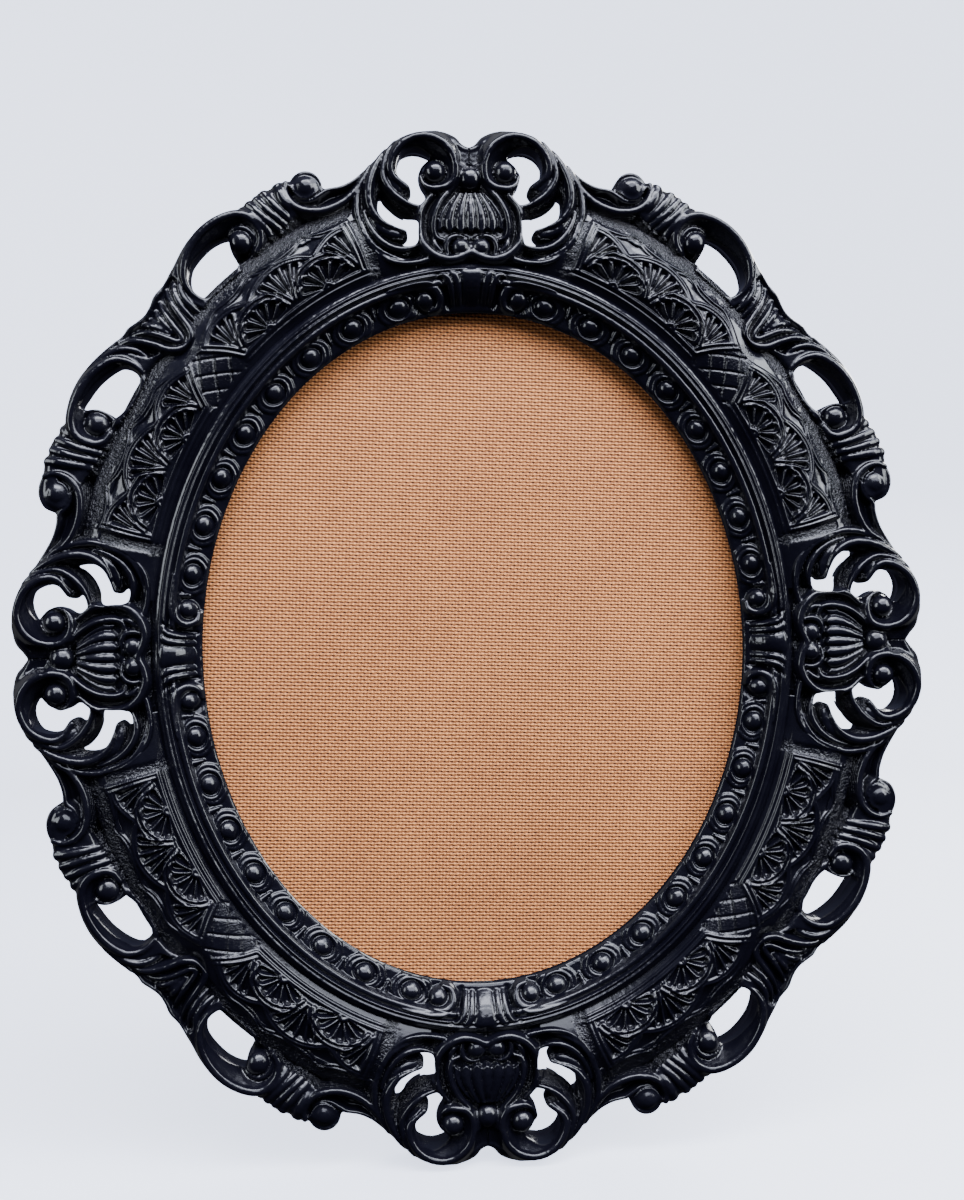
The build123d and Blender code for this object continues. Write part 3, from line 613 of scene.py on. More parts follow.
    # ball scrolls at the rails' ends
    F.bead([(62.6, 195.6), (63.2, 200.0), (66.0, 202.7), (70.2, 203.2), (74.2, 201.4), (76.4, 197.6)],
           [0.8, 1.2, 1.3, 1.2, 0.9], [20.5, 21.6, 22, 21.6, 20.5])
    F.dome((70.0, 197.4), 5.6, 23.6)
    F.bead([(175.2, 60.9), (180.0, 63.0), (182.0, 67.4), (182.0, 72.2), (180.0, 76.2), (176.4, 77.6)],
           [0.8, 1.2, 1.3, 1.2, 0.9], [20.5, 21.6, 22, 21.6, 20.5])
    F.dome((175.6, 68.9), 5.6, 23.6)
    # ribbed clasps
    for rib, hw in (([(74.0, 186.0), (78.6, 190.8), (81.6, 197.6)], [1.9, 2.4, 2.6]),
                    ([(75.8, 183.0), (81.8, 187.8), (87.2, 194.2)], [1.5, 1.8, 2.2]),
                    ([(77.8, 180.8), (84.6, 185.9), (90.6, 191.9)], [1.4, 1.5, 1.9]),
                    ([(80.2, 178.9), (87.4, 184.0), (93.6, 190.0)], [1.5, 1.7, 2.0]),
                    ([(84.6, 176.6), (89.2, 182.2), (96.6, 187.2)], [1.7, 2.0, 2.0])):
        F.bead(rib, hw, [21.6, 23.6, 24.2, 23.8, 22.2], k=0.3, wall=1.4)
    for rib, hw in (([(154.6, 88.6), (162.4, 90.6), (171.8, 95.2)], [1.7, 2.0, 2.2]),
                    ([(156.8, 85.4), (165.6, 87.8), (174.8, 91.6)], [1.5, 1.7, 2.0]),
                    ([(158.8, 82.4), (167.6, 84.4), (177.2, 87.4)], [1.4, 1.6, 1.9]),
                    ([(161.4, 79.6), (169.4, 81.2), (179.2, 82.8)], [1.5, 1.9, 2.2])):
        F.bead(rib, hw, [21.6, 23.6, 24.2, 23.8, 22.2], k=0.3, wall=1.4)
    # C scrolls: lips, inner turns and balls
    F.bead(lip_b, [1.3, 1.7, 1.9, 1.9, 1.8, 1.6, 1.2], [22.5, 24, 25, 25.2, 25, 24.4, 22.5], wall=1.4)
    F.bead([(95.5, 187.2), (102, 185.6), (109, 182.2), (115.2, 177.2), (120.2, 170.8), (124.0, 163.8), (126.6, 157.4)],
           [0.7, 0.9, 1.0, 0.9, 0.7], [20.6, 21.6, 22, 22, 21.6])
    F.bead([(91.6, 170.6), (91.3, 174.4), (92.9, 178.0), (96.4, 180.1), (100.6, 179.2), (103.4, 176.4)],
           [0.9, 1.2, 1.2, 1.1, 0.8], [20.5, 21.6, 22, 21.4, 19])
    F.dome((97.5, 174.2), 5.5, 23.6)
    F.bead(lip_c, [1.2, 1.6, 1.8, 1.9, 1.9, 1.7, 1.3], [22.5, 24, 25, 25.2, 25, 24.4, 22.5], wall=1.4)
    F.bead([(149.4, 132.2), (154.6, 127.6), (159.8, 122.4), (164.4, 116.0), (167.8, 108.8), (169.6, 102)],
           [0.7, 0.9, 1.0, 0.9, 0.7], [21.6, 22, 22, 21.6, 20.6])
    F.bead([(151.8, 95.4), (151.8, 99.2), (153.8, 102.4), (157.6, 104.0), (162.0, 103.2), (165.0, 100.6)],
           [0.9, 1.2, 1.2, 1.1, 0.8], [20.5, 21.6, 22, 21.4, 19])
    F.dome((158.4, 98.0), 5.6, 23.6)
    # nose between the C scrolls: folded ridges round a leaf
    F.level([(112.8, 145.6), (116, 140), (117.4, 134.6), (118, 130.6), (121, 128.2), (125, 127.4), (130, 127.4), (136, 125),
             (140, 125.6), (147, 127.8), (152, 128.6), (146, 136.4), (139.4, 141.6), (136, 146.4), (133, 152),
             (127.4, 160), (123.4, 158), (121.6, 152.6), (117.4, 148.6)], 18.6, 2.2)
    F.bead([(123.0, 158.0), (122.6, 153.2), (120.4, 149), (116.6, 145.6), (113.6, 143.8)], [1.2, 1.4, 1.4, 1.0], [22.6, 23.6, 23.2, 20])
    F.bead([(126.0, 158.6), (125.2, 152.8), (122.8, 147.4), (119.4, 143.2), (116.0, 140.2)], [0.7, 1.2, 1.3, 1.0], [19.5, 23.2, 23.4, 20.5])
    F.bead([(129.4, 156.4), (128.0, 151.6), (125.4, 146.4), (121.8, 141.2), (119.0, 137), (118.2, 133.2), (120.0, 130.1),
            (123.6, 128.5), (128, 128.5), (132.6, 130.2), (137.6, 131.7), (143, 132.2), (148.4, 131.0), (152.6, 128.6)],
           [0.6, 1.1, 1.3, 1.5, 1.5, 1.3, 1.1, 0.6], [18, 23, 24.2, 25, 25, 24.2, 23, 18.5])
    F.bead([(132.6, 152.6), (131.4, 147.8), (129.0, 143.2), (125.8, 138.6), (123.0, 135.0), (122.2, 132.9), (124.2, 131.9),
            (128.0, 133.2), (132.6, 135.0), (138, 135.8), (143.2, 135.2), (146.6, 133.8)],
           [0.6, 1.0, 1.2, 1.2, 1.0, 0.6], [17, 22.6, 23.8, 24, 22.6, 17.5])
    F.bead([(134.2, 146.4), (132.4, 143.0), (129.6, 139.4), (126.4, 135.8)], [0.6, 1.2, 1.2, 0.9], [18, 22.6, 23.2, 22.6])
    F.bead([(141.2, 139.4), (137.0, 138.8), (132.4, 137.6), (127.6, 135.2)], [0.6, 1.2, 1.2, 0.9], [18, 22.6, 23.2, 22.6])
    F.bead([(137.4, 142.2), (133.8, 140.4), (129.6, 137.6)], [0.8, 1.3, 0.9], [18, 22.4, 23])
    F.bead([(135.4, 122.6), (137.8, 126.0), (141.8, 128.4), (147, 129.0), (152.6, 127.0), (157.6, 123.2)],
           [1.0, 1.3, 1.3, 1.0], [20.5, 23, 23.2, 22.4])

    # cartouches on the upright and the level axis
    cartouche(F, lambda p: [(x, z) for x, z in p], X, Z)
    cartouche(F, lambda p: to_side(p), Z, X + CART_SHIFT)
    # round the meeting of the mirrored halves
    n = int(5.0 / step)
    a = (np.sqrt(us[:n] ** 2 + 0.8) - us[0]) / step
    i, t = a.astype(int), (a % 1)[:, None]
    F.h[:n] = np.where(Z[:n] > 150, F.h[i] * (1 - t) + F.h[i + 1] * t, F.h[:n])
    F.h[:, :n] = np.where(X[:, :n] > 120, F.h[:, i] * (1 - t.T) + F.h[:, i + 1] * t.T, F.h[:, :n])

    F.h += 0.03 * grain(X.shape, 12, 1, 1)
    # in-plane distance: outline, openings and the hidden inner edge
    d2 = d_edge
    open_d = np.full(X.shape, -60.0)
    for hole in (HOLE_B, HOLE_C, HOLE_UP, HOLE_LOW, to_side(HOLE_UP), to_side(HOLE_LOW)):
        line = smooth(hole, 0.8, closed=True)
        ring = np.vstack([line, line[:1]])
        w = F.window(line, 12)
        d, _ = near(X[w], Z[w], ring)
        d = np.where(inside(X[w], Z[w], line), d, -d)
        open_d[w] = np.maximum(open_d[w], d)
    keep = BORDER_V - v
    for area in (CART_AREA, to_side(CART_AREA)):
        line = smooth(area, 1.0, closed=True)
        d, _ = near(X, Z, np.vstack([line, line[:1]]))
        keep = np.minimum(keep, np.where(inside(X, Z, line), -d, d))
    d2 = np.maximum(d2, keep)
    back = np.where(v < LEDGE_V, LEDGE_H + 0.05, 0.0)
    pocket = ((ax < 10.0) & (az > 150) & (az < SIGHT_B + LEDGE_V + 16.5)) | \
             ((az < 10.0) & (ax > 120) & (ax < SIGHT_A + LEDGE_V + 16.5))
    back = np.where(pocket, LEDGE_H + 0.05, back)
    # mirror the first row and column so that the quarters meet
    for a in (F.h, d2, open_d, back):
        a[0, :] = a[1, :]
        a[:, 0] = a[:, 1]
    return F, d2, open_d, back


# ------------------------------------------------------------------ meshes
def new_mesh(name, verts, quads, extra=(), uv=None, matt=None):
    """verts in mm as x, z, h; quads as an index array; extra faces as lists;
    matt is 1 where the cast ground is left rough."""
    v = np.asarray(verts, float)
    co = np.stack([v[:, 0], -v[:, 2], v[:, 1]], 1) * 0.001
    me = bpy.data.meshes.new(name)
    me.vertices.add(len(co))
    me.vertices.foreach_set("co", co.astype(np.float32).ravel())
    q = np.asarray(quads, np.int32)
    loops = [q.ravel()] + [np.asarray(e, np.int32) for e in extra]
    starts = list(np.arange(len(q)) * 4)
    at = len(q) * 4
    for e in extra:
        starts.append(at)
        at += len(e)
    loops = np.concatenate(loops)
    me.loops.add(len(loops))
    me.loops.foreach_set("vertex_index", loops)
    me.polygons.add(len(starts))
    me.polygons.foreach_set("loop_start", np.asarray(starts, np.int32))
    me.polygons.foreach_set("use_smooth", np.ones(len(starts), bool))
    me.update(calc_edges=True)
    if uv is not None:
        layer = me.uv_layers.new(name="OFBake")
        layer.data.foreach_set("uv", uv(loops, co).astype(np.float32).ravel())
    if matt is not None:
        me.attributes.new("matt", "FLOAT", "POINT").data.foreach_set("value", np.asarray(matt, np.float32))
    ob = bpy.data.objects.new(name, me)
    bpy.context.scene.collection.objects.link(ob)
    return ob


def make_rim():
    F = rim_field()
    n, m = F.h.shape
    back = [(RIM_V, 12.0), (RIM_V, LEDGE_H), (12.0, LEDGE_H), (REBATE_V, LEDGE_H), (REBATE_V, REBATE_H),
            (2.6, REBATE_H), (1.95, REBATE_H), (1.75, REBATE_H + 0.08)]
    lean = F.w + 2.4 * np.clip((0.9 - F.w) / 0.9, 0, 1) - 0.7 * np.clip((4 - F.w) / 3, 0, 1)
    vs = np.concatenate([lean, [b[0] for b in back]])
    cols = []
    for q in range(4):
        order = range(n - 1) if q % 2 == 0 else range(n - 1, 0, -1)
        sx = 1 if q < 2 else -1
        sz = 1 if q in (0, 3) else -1
        for i in order:
            cols.append((i, sx, sz))
    idx = np.array([c[0] for c in cols])
    sx = np.array([c[1] for c in cols], float)[:, None]
    sz = np.array([c[2] for c in cols], float)[:, None]
    s = F.u[idx][:, None]
    x, z = place(np.repeat(s, len(vs), 1), np.repeat(vs[None, :], len(idx), 0))
    h = np.concatenate([F.h[idx], np.repeat(np.array([[b[1] for b in back]]), len(idx), 0)], 1)
    verts = np.stack([x * sx, z * sz, h], 2).reshape(-1, 3)
    c, k = len(idx), len(vs)
    i, j = np.meshgrid(np.arange(c), np.arange(k), indexing="ij")
    i2, j2 = (i + 1) % c, (j + 1) % k
    quads = np.stack([i * k + j, i * k + j2, i2 * k + j2, i2 * k + j], 2).reshape(-1, 4)
    lay = np.concatenate([[0], np.cumsum(np.hypot(np.diff(vs), np.diff(np.concatenate(
        [np.full(m, 20.0), [b[1] for b in back]]))))])
    lay = lay / (lay[-1] + 4.0)

    def uv(loops, co):
        col, row = loops // k, loops % k
        u, w = col / c, lay[row]
        u = u.reshape(-1, 4)
        w = w.reshape(-1, 4)
        u = np.where((u < 0.2) & (u.max(1, keepdims=True) > 0.8), 1.0, u)
        w = np.where((w < 1e-9) & (w.max(1, keepdims=True) > 0.5), 1.0, w)
        return np.stack([u.ravel() * 0.998 + 0.001, w.ravel() * 0.99 + 0.005], 1)

    return new_mesh("moulding_sight_rim", verts, quads, uv=uv)


def make_frieze():
    F = frieze_field()
    m = len(F.w)
    n = 400
    rs, rv = unplace(*np.array(CART_RIDGE[:-1], float).T)
    o = np.argsort(rv)
    s0 = np.interp(F.w, rv[o], rs[o])
    qs, qv = unplace(*np.array(to_side(CART_RIDGE[:-1]), float).T)
    o = np.argsort(qv)
    s1 = np.interp(F.w, qv[o], qs[o])
    f = np.linspace(0, 1, n + 1)[:, None]
    S = s0[None, :] + (s1 - s0)[None, :] * f
    H = np.stack([np.interp(S[:, j], F.u, F.h[:, j]) for j in range(m)], 1)
    M = np.stack([np.interp(S[:, j], F.u, F.matt[:, j]) for j in range(m)], 1)
    back = [(FRIEZE_V1, 3.0), (46.4, 3.0), (46.4, 0.05), (LEDGE_V, 0.05), (LEDGE_V, LEDGE_H + 0.05),
            (FRIEZE_V0, LEDGE_H + 0.05)]
    bv = np.array([b[0] for b in back])
    bs0 = np.interp(bv, F.w, s0)
    bs1 = np.interp(bv, F.w, s1)
    S = np.concatenate([S, bs0[None, :] + (bs1 - bs0)[None, :] * f], 1)
    Vv = np.concatenate([F.w, bv])
    H = np.concatenate([H, np.repeat(np.array([[b[1] for b in back]]), n + 1, 0)], 1)
    x, z = place(S, np.repeat(Vv[None, :], n + 1, 0))
    k = len(Vv)
    i, j = np.meshgrid(np.arange(n), np.arange(k), indexing="ij")
    j2 = (j + 1) % k
    one = np.stack([i * k + j, i * k + j2, (i + 1) * k + j2, (i + 1) * k + j], 2).reshape(-1, 4)
    verts, quads, caps = [], [], []
    for a, (sx, sz) in enumerate(((1, 1), (-1, 1), (1, -1), (-1, -1))):
        off = a * (n + 1) * k
        verts.append(np.stack([x * sx, z * sz, H], 2).reshape(-1, 3))
        flip = sx * sz < 0
        quads.append((one[:, ::-1] if flip else one) + off)
        first = list(range(off, off + k))
        last = list(range(off + n * k, off + (n + 1) * k))
        caps.append(first if flip else first[::-1])
        caps.append(last[::-1] if flip else last)
    lay = np.linspace(0, 0.2, m)
    lay = np.concatenate([lay, 0.2 + np.linspace(0.004, 0.04, len(back))])

    def uv(loops, co):
        per = (n + 1) * k
        a, r = loops // per, loops % per
        u, w = (r // k) / n, lay[r % k]
        main = len(one) * 4 * 4
        wq = w[:main].reshape(-1, 4)
        w[:main] = np.where((wq < 1e-9) & (wq.max(1, keepdims=True) > 0.2), 0.2435, wq).ravel()
        u = u * 0.96 + 0.02
        for e in range(8):
            b = main + e * k
            u[b:b + k] = (0.002 if e % 2 == 0 else 0.99) + 0.008 * np.linspace(0, 1, k) ** 2
        return np.stack([u, w + a * 0.249 + 0.001], 1)

    matt = np.concatenate([M, np.full((n + 1, len(back)), 0.8)], 1).ravel()
    return new_mesh("moulding_frieze", np.concatenate(verts), np.concatenate(quads), caps, uv=uv, matt=np.tile(matt, 4))


def surface_net(f, origin, step):
    """Closed surface where f changes sign (negative inside), with the cell of
    each vertex."""
    ins = f < 0
    nx, ny, nz = f.shape
    count = np.zeros((nx - 1, ny - 1, nz - 1), np.uint8)
    corners = [(a, b, c) for a in (0, 1) for b in (0, 1) for c in (0, 1)]
    for a, b, c in corners:
        count += ins[a:nx - 1 + a, b:ny - 1 + b, c:nz - 1 + c]
    mixed = (count > 0) & (count < 8)
    cells = np.argwhere(mixed)
    index = np.full(mixed.shape, -1, np.int32)
    index[mixed] = np.arange(len(cells))
    value = {c: f[cells[:, 0] + c[0], cells[:, 1] + c[1], cells[:, 2] + c[2]] for c in corners}
    total = np.zeros((len(cells), 3))
    hits = np.zeros(len(cells))
    for a in corners:
        for axis in range(3):
            if a[axis]:
                continue
            b = list(a)
            b[axis] = 1
            fa, fb = value[a], value[tuple(b)]
            cross = (fa < 0) != (fb < 0)
            t = np.where(cross, fa / np.where(cross, fa - fb, 1), 0)
            p = np.zeros((len(cells), 3)) + np.array(a, float)
            p[:, axis] += t
            total += p * cross[:, None]
            hits += cross
    verts = np.array(origin) + (cells + total / hits[:, None]) * np.array(step)
    quads = []
    for axis in range(3):
        lo = [slice(1, -1)] * 3
        hi = [slice(1, -1)] * 3
        lo[axis] = slice(0, -1)
        hi[axis] = slice(1, None)
        a, b = ins[tuple(lo)], ins[tuple(hi)]
        at = np.argwhere(a != b)
        out = a[tuple(at.T)]
        o1, o2 = (axis + 1) % 3, (axis + 2) % 3
        base = at + 1
        base[:, axis] -= 1
        ring = []
        for d1, d2 in ((-1, -1), (0, -1), (0, 0), (-1, 0)):
            c = base.copy()
            c[:, o1] += d1
            c[:, o2] += d2
            ring.append(index[tuple(c.T)])
        ring = np.stack(ring, 1)
        ring[~out] = ring[~out][:, ::-1]
        quads.append(ring)
    quads = np.concatenate(quads)
    return verts, quads[(quads >= 0).all(1)], cells


def make_border():
    step = 0.5
    F, d2, open_d, back = border_fields(step)
    hf = F.h
    gx, gz = np.gradient(hf, step)
    slope = np.sqrt(1 + np.minimum(gx * gx + gz * gz, 9.0)).astype(np.float32)
    hs = np.arange(-0.75, 29.0, step, dtype=np.float32)
    front = (hs[None, None, :] - hf.astype(np.float32)[:, :, None]) / slope[:, :, None]
    # the openings flare towards the back, as the casting's draught leaves them
    flare = np.float32(0.28) * np.clip(14.0 - hs, 0, 11)[None, None, :]
    d = np.maximum(d2.astype(np.float32)[:, :, None], open_d.astype(np.float32)[:, :, None] + flare)
    k = np.float32(0.9)
    f = 0.5 * (front + d + np.sqrt((front - d) ** 2 + k * k)) - np.float32(0.12)
    f = np.maximum(f, back.astype(np.float32)[:, :, None] - hs[None, None, :])
    verts, quads, cells = surface_net(f, (F.u[0], F.w[0], hs[0]), (step, step, step))
    onx, onz = cells[:, 0] == 0, cells[:, 1] == 0
    verts[onx, 0] = 0.0
    verts[onz, 1] = 0.0
    n = len(verts)
    base = np.arange(n)
    ground = (F.matt[cells[:, 0], cells[:, 1]] * (verts[:, 2] > 10) * (verts[:, 2] < hf[cells[:, 0], cells[:, 1]] + 1)
              * (hf[cells[:, 0], cells[:, 1]] < 22.0))
    pieces, faces, count = [verts], [quads[:, ::-1]], n
    grounds = [ground]

    def copy(sx, sz, shared):
        nonlocal count
        ids = shared.copy()
        new = ids < 0
        ids[new] = count + np.arange(new.sum())
        pieces.append(verts[new] * np.array([sx, sz, 1.0]))
        grounds.append(ground[new])
        count += int(new.sum())
        q = ids[quads]
        faces.append(q if sx * sz < 0 else q[:, ::-1])
        return ids

    left = copy(-1, 1, np.where(onx, base, -1))
    low = copy(1, -1, np.where(onz, base, -1))
    copy(-1, -1, np.where(onz, left, np.where(onx, low, -1)))
    verts, quads = np.concatenate(pieces), np.concatenate(faces)

    def uv(loops, co):
        p = co[loops].reshape(-1, 4, 3)
        nrm = np.cross(p[:, 2] - p[:, 0], p[:, 3] - p[:, 1])
        rear = (nrm[:, 1] > 0.7 * np.linalg.norm(nrm, axis=1)) & (p[:, :, 1].max(1) > -0.007)
        u = (p[:, :, 0] + 0.2) / 0.405 * 0.49 + 0.003 + rear[:, None] * 0.5
        w = (p[:, :, 2] + 0.225) / 0.45 * 0.99 + 0.005
        return np.stack([u.ravel(), w.ravel()], 1)

    return new_mesh("moulding_scroll_border", verts, quads, uv=uv, matt=np.concatenate(grounds))


# --------------------------------------------------------------- materials
def nodes_of(name):
    mat = bpy.data.materials.new(name)
    mat.use_nodes = True
    nt = mat.node_tree
    for n in list(nt.nodes):
        nt.nodes.remove(n)
    out = nt.nodes.new("ShaderNodeOutputMaterial")
    b = nt.nodes.new("ShaderNodeBsdfPrincipled")
    nt.links.new(b.outputs["BSDF"], out.inputs["Surface"])
    return mat, nt, b


def noise(nt, scale, detail, rough=0.5, coord=None):
    n = nt.nodes.new("ShaderNodeTexNoise")
    n.inputs["Scale"].default_value = scale
    n.inputs["Detail"].default_value = detail
    n.inputs["Roughness"].default_value = rough
    nt.links.new(coord, n.inputs["Vector"])
    return n.outputs["Fac"]


def math_node(nt, op, a, b=None):
    n = nt.nodes.new("ShaderNodeMath")
    n.operation = op
    for i, v in enumerate((a, b)):
        if v is None:
            continue
        if isinstance(v, (int, float)):
            n.inputs[i].default_value = v
        else:
            nt.links.new(v, n.inputs[i])
    return n.outputs[0]


def ramp(nt, fac, stops):
    n = nt.nodes.new("ShaderNodeValToRGB")
    e = n.color_ramp.elements
    while len(e) < len(stops):
        e.new(0.5)
    for el, (p, c) in zip(e, stops):
        el.position = p
        el.color = (*c, 1)
    nt.links.new(fac, n.inputs["Fac"])
    return n.outputs["Color"]


def spread(nt, fac, lo, hi):
    n = nt.nodes.new("ShaderNodeMapRange")
    n.inputs["From Min"].default_value = 0.3
    n.inputs["From Max"].default_value = 0.7
    n.inputs["To Min"].default_value = lo
    n.inputs["To Max"].default_value = hi
    nt.links.new(fac, n.inputs["Value"])
    return n.outputs["Result"]


def bump(nt, height, strength, distance, under=None):
    n = nt.nodes.new("ShaderNodeBump")
    n.inputs["Strength"].default_value = strength
    n.inputs["Distance"].default_value = distance
    nt.links.new(height, n.inputs["Height"])
    if under is not None:
        nt.links.new(under, n.inputs["Normal"])
    return n.outputs["Normal"]


def paint():
    mat, nt, b = nodes_of("black_gloss_paint")
    co = nt.nodes.new("ShaderNodeTexCoord").outputs["Object"]
    blot = noise(nt, 60, 4, 0.6, co)
    peel = noise(nt, 900, 3, 0.55, co)
    lump = noise(nt, 260, 3, 0.5, co)
    nt.links.new(ramp(nt, blot, [(0.3, (0.0022, 0.0021, 0.0044)), (0.7, (0.0042, 0.0041, 0.0075))]), b.inputs["Base Color"])
    raw = nt.nodes.new("ShaderNodeAttribute")
    raw.attribute_name = "matt"
    nt.links.new(math_node(nt, "ADD", spread(nt, blot, 0.12, 0.22), math_node(nt, "MULTIPLY", raw.outputs["Fac"], 0.08)),
                 b.inputs["Roughness"])
    b.inputs["IOR"].default_value = 1.46
    n1 = bump(nt, lump, 0.32, 0.0003)
    n2 = bump(nt, peel, 0.36, 0.0001, n1)
    grit = math_node(nt, "MULTIPLY", noise(nt, 1250, 2, 0.5, co), raw.outputs["Fac"])
    nt.links.new(bump(nt, grit, 1.0, 0.0011, n2), b.inputs["Normal"])
    return mat


def hardboard():
    mat, nt, b = nodes_of("hardboard")
    co = nt.nodes.new("ShaderNodeTexCoord").outputs["Object"]
    sep = nt.nodes.new("ShaderNodeSeparateXYZ")
    nt.links.new(co, sep.inputs[0])
    wob = math_node(nt, "ADD", noise(nt, 40, 2, 0.5, co), math_node(nt, "MULTIPLY", noise(nt, 330, 2, 0.5, co), 0.8))
    # stitches 3 mm long in rows 1.47 mm apart, each row half a stitch along,
    # and the print lies a little askew
    ax = math_node(nt, "SUBTRACT", sep.outputs[0], math_node(nt, "MULTIPLY", sep.outputs[2], 0.041))
    az = math_node(nt, "ADD", sep.outputs[2], math_node(nt, "MULTIPLY", sep.outputs[0], 0.041))
    x = math_node(nt, "ADD", math_node(nt, "MULTIPLY", ax, 2 * math.pi / 0.00301),
                  math_node(nt, "MULTIPLY", wob, 1.6))
    z = math_node(nt, "ADD", math_node(nt, "MULTIPLY", az, 2 * math.pi / 0.00147),
                  math_node(nt, "MULTIPLY", wob, 1.9))

    def wave(nx, nz, size):
        a = math_node(nt, "ADD", math_node(nt, "MULTIPLY", x, nx), math_node(nt, "MULTIPLY", z, nz))
        return math_node(nt, "MULTIPLY", math_node(nt, "COSINE", a), size)
    pits = math_node(nt, "ADD", math_node(nt, "ADD", wave(0, 1, 0.46), wave(1, 0.5, 0.21)),
                     math_node(nt, "ADD", wave(2, 0, 0.18), wave(1, 1.5, 0.13)))
    woven = math_node(nt, "SUBTRACT", 0.5, math_node(nt, "MULTIPLY", pits, 0.76))
    # the screen's print is on the front face only, and so is the shade painted into its pits
    way = nt.nodes.new("ShaderNodeSeparateXYZ")
    nt.links.new(nt.nodes.new("ShaderNodeNewGeometry").outputs["Normal"], way.inputs[0])
    front = math_node(nt, "LESS_THAN", way.outputs[1], -0.3)
    weave_relief_and_pit_shade = math_node(nt, "ADD", math_node(nt, "MULTIPLY", woven, front),
                      math_node(nt, "MULTIPLY", math_node(nt, "SUBTRACT", 1, front), 0.40))
    fibre = noise(nt, 1500, 3, 0.6, co)
    blot = noise(nt, 22, 5, 0.65, co)
    patch = noise(nt, 420, 2, 0.5, co)
    # centred on 0.5: the weave, whose pits carry painted shade, then blotches and loose fibres
    mottle = math_node(nt, "ADD", math_node(nt, "MULTIPLY", math_node(nt, "SUBTRACT", blot, 0.5), 0.22),
                       math_node(nt, "ADD", math_node(nt, "MULTIPLY", math_node(nt, "SUBTRACT", fibre, 0.5), 0.26),
                                 math_node(nt, "MULTIPLY", math_node(nt, "SUBTRACT", patch, 0.5), 0.28)))
    tone_with_pit_shade = math_node(nt, "ADD", weave_relief_and_pit_shade, mottle)
    # the ramp paints low tone dark: painted shade in the weave's pits, over the board's own brown and blotches
    nt.links.new(ramp(nt, tone_with_pit_shade, [(0.0, (0.066, 0.0170, 0.004)), (0.5, (0.358, 0.122, 0.036)), (1.0, (0.84, 0.345, 0.110))]),
                 b.inputs["Base Color"])
    b.inputs["Roughness"].default_value = 0.72
    b.inputs["IOR"].default_value = 1.4
    n1 = bump(nt, weave_relief_and_pit_shade, 0.7, 0.0004)
    nt.links.new(bump(nt, fibre, 0.25, 0.00008, n1), b.inputs["Normal"])
    return mat


def zinc():
    mat, nt, b = nodes_of("zinc_steel")
    co = nt.nodes.new("ShaderNodeTexCoord").outputs["Object"]
    spangle = noise(nt, 350, 4, 0.6, co)
    fine = noise(nt, 2500, 2, 0.5, co)
    nt.links.new(ramp(nt, spangle, [(0.3, (0.50, 0.50, 0.49)), (0.7, (0.66, 0.65, 0.62))]), b.inputs["Base Color"])
    b.inputs["Metallic"].default_value = 1.0
    nt.links.new(spread(nt, spangle, 0.26, 0.42), b.inputs["Roughness"])
    nt.links.new(bump(nt, fine, 0.15, 0.00004), b.inputs["Normal"])
    return mat


def plain(name, colour, rough):
    mat, nt, b = nodes_of(name)
    co = nt.nodes.new("ShaderNodeTexCoord").outputs["Object"]
    soft = noise(nt, 3, 2, 0.5, co)
    nt.links.new(ramp(nt, soft, [(0.3, tuple(c * 0.985 for c in colour)), (0.7, colour)]), b.inputs["Base Color"])
    b.inputs["Roughness"].default_value = rough
    return mat


# --------------------------------------------------------------- the object
PAINT, BOARD, ZINC = paint(), hardboard(), zinc()
for piece in (make_rim(), make_frieze(), make_border()):
    piece.data.materials.append(PAINT)
    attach(piece, "frame")
    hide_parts("frame_moulding")

for name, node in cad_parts.items():
    look = PAINT if name == "frame_moulding" else BOARD if name == "backing_board" else ZINC
    if not node.data.materials:
        node.data.materials.append(look)
    for i in range(len(node.data.materials)):
        node.data.materials[i] = look

# the board stays out of the paint's gloss, which shows the light alone
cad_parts["backing_board"].visible_glossy = False

# ------------------------------------------------------------ floor and light
FLOOR_Z = -0.2226
prof = [(0.4, 0.0), (1.25, 0.0)]
for i in range(1, 13):
    a = math.radians(90 * i / 12)
    prof.append((1.25 + 0.5 * math.sin(a), 0.5 * (1 - math.cos(a))))
prof.append((1.75, 2.6))
ROUND = 96
verts = [(0.0, 0.0, FLOOR_Z)] + [(r * math.cos(2 * math.pi * k / ROUND), r * math.sin(2 * math.pi * k / ROUND), FLOOR_Z + z)
                                 for r, z in prof for k in range(ROUND)]
faces = [(0, 1 + k, 1 + (k + 1) % ROUND) for k in range(ROUND)]
for j in range(len(prof) - 1):
    for k in range(ROUND):
        a, b = 1 + j * ROUND + k, 1 + j * ROUND + (k + 1) % ROUND
        faces.append((a, a + ROUND, b + ROUND, b))
me = bpy.data.meshes.new("floor")
me.from_pydata(verts, [], faces)
for p in me.polygons:
    p.use_smooth = True
floor = bpy.data.objects.new("floor", me)
bpy.context.scene.collection.objects.link(floor)
pale = plain("pale_floor", (0.46, 0.465, 0.48), 0.6)
glow = pale.node_tree.nodes["Principled BSDF"].inputs
glow["Emission Color"].default_value = (0.85, 0.93, 1.19, 1)
glow["Emission Strength"].default_value = 2.0
me.materials.append(pale)
# a backdrop only: the gloss paint mirrors the lights, not the floor
floor.visible_glossy = floor.visible_diffuse = floor.visible_shadow = False


def area(name, at, to, size_x, size_y, power, colour):
    d = bpy.data.lights.new(name, "AREA")
    d.shape = "RECTANGLE"
    d.size, d.size_y = size_x, size_y
    d.energy = power
    d.color = colour
    o = bpy.data.objects.new(name, d)
    o.location = at
    o.visible_camera = False
    o.rotation_euler = (Vector(to) - Vector(at)).to_track_quat("-Z", "Y").to_euler()
    bpy.context.scene.collection.objects.link(o)
    return o


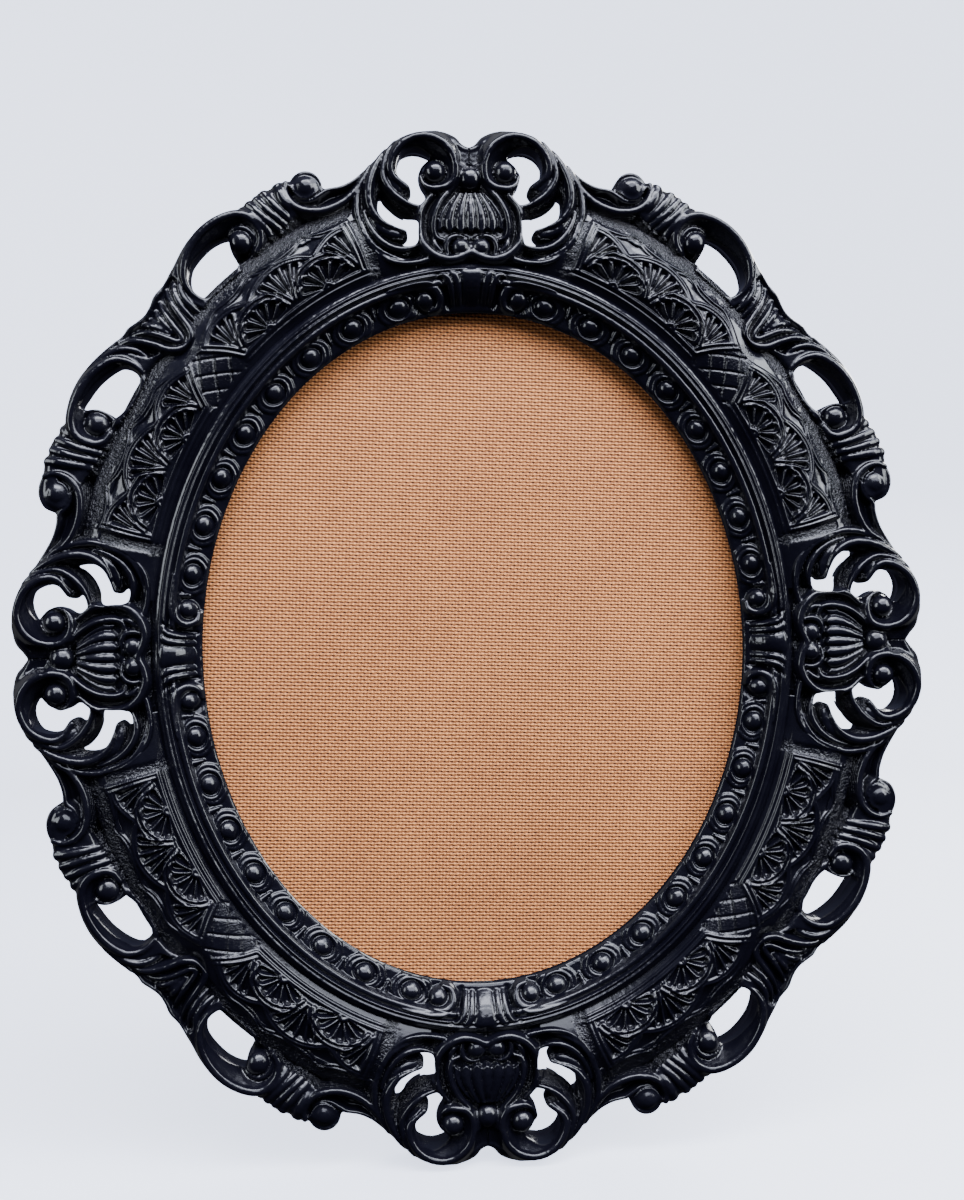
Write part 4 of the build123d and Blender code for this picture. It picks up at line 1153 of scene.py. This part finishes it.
area("sky", (0.08, -0.72, 1.30), (0, 0, 0.0), 1.5, 0.5, 36, (0.86, 0.89, 1.0))
area("haze", (0.50, -1.16, 1.46), (0, 0, 0.0), 2.7, 1.7, 112, (0.82, 0.865, 1.0))
area("behind", (0.9, 1.05, 0.75), (0, 0, 0.0), 0.9, 0.9, 26, (0.97, 0.98, 1.0))
area("left", (-1.2, -0.55, 0.34), (0, 0, 0), 0.4, 0.8, 8, (0.88, 0.94, 1.0))
area("right", (1.1, -0.6, 0.5), (0, 0, 0), 0.5, 0.9, 15, (0.90, 0.95, 1.0))

world = bpy.data.worlds.new("room")
bpy.context.scene.world = world
world.use_nodes = True
nt = world.node_tree
for nd in list(nt.nodes):
    nt.nodes.remove(nd)
out = nt.nodes.new("ShaderNodeOutputWorld")
bg = nt.nodes.new("ShaderNodeBackground")
rear = nt.nodes.new("ShaderNodeBackground")
both = nt.nodes.new("ShaderNodeMixShader")
nt.links.new(bg.outputs[0], both.inputs[1])
nt.links.new(rear.outputs[0], both.inputs[2])
nt.links.new(both.outputs[0], out.inputs["Surface"])
sep = nt.nodes.new("ShaderNodeSeparateXYZ")
nt.links.new(nt.nodes.new("ShaderNodeTexCoord").outputs["Generated"], sep.inputs[0])
up = nt.nodes.new("ShaderNodeMapRange")
up.inputs["From Min"].default_value = -1.0
up.inputs["From Max"].default_value = 1.0
nt.links.new(sep.outputs[2], up.inputs["Value"])
nt.links.new(ramp(nt, up.outputs["Result"], [(0.0, (0.018, 0.018, 0.026)), (0.50, (0.046, 0.046, 0.082)), (0.70, (0.15, 0.165, 0.27)),
                                             (1.0, (0.50, 0.56, 0.80))]), bg.inputs["Color"])
bg.inputs["Strength"].default_value = 0.55
# the room behind the frame: pale to the sides and above, dim straight back
nt.links.new(ramp(nt, up.outputs["Result"], [(0.0, (0.10, 0.10, 0.11)), (0.5, (0.30, 0.31, 0.33)), (1.0, (0.80, 0.82, 0.85))]),
             rear.inputs["Color"])
rear.inputs["Strength"].default_value = 0.8
behind = ramp(nt, sep.outputs[1], [(0.0, (0, 0, 0)), (0.25, (1, 1, 1)), (0.62, (1, 1, 1)), (0.82, (0, 0, 0))])
nt.links.new(behind, both.inputs[0])

# ------------------------------------------------------------------- camera
# the photograph's view: about 0.58 m in front, a little left of the middle
FOCAL, WIDE, HIGH = 1300.0, 964, 1200
cam = bpy.data.cameras.new("view")
cam.sensor_fit = "VERTICAL"
cam.sensor_height = 36.0
cam.lens = FOCAL / HIGH * 36.0
cam.clip_start = 0.01
eye = bpy.data.objects.new("view", cam)
forward = Vector((0.0774, 0.9969, -0.0118)).normalized()
right = Vector((0.9968, -0.0777, -0.0191))
right = (right - forward * right.dot(forward)).normalized()
upward = right.cross(forward)
m = Matrix((right, upward, -forward)).transposed().to_4x4()
m.translation = Vector((-0.04126, -0.5771, 0.02767))
eye.matrix_world = m
bpy.context.scene.collection.objects.link(eye)
bpy.context.scene.camera = eye
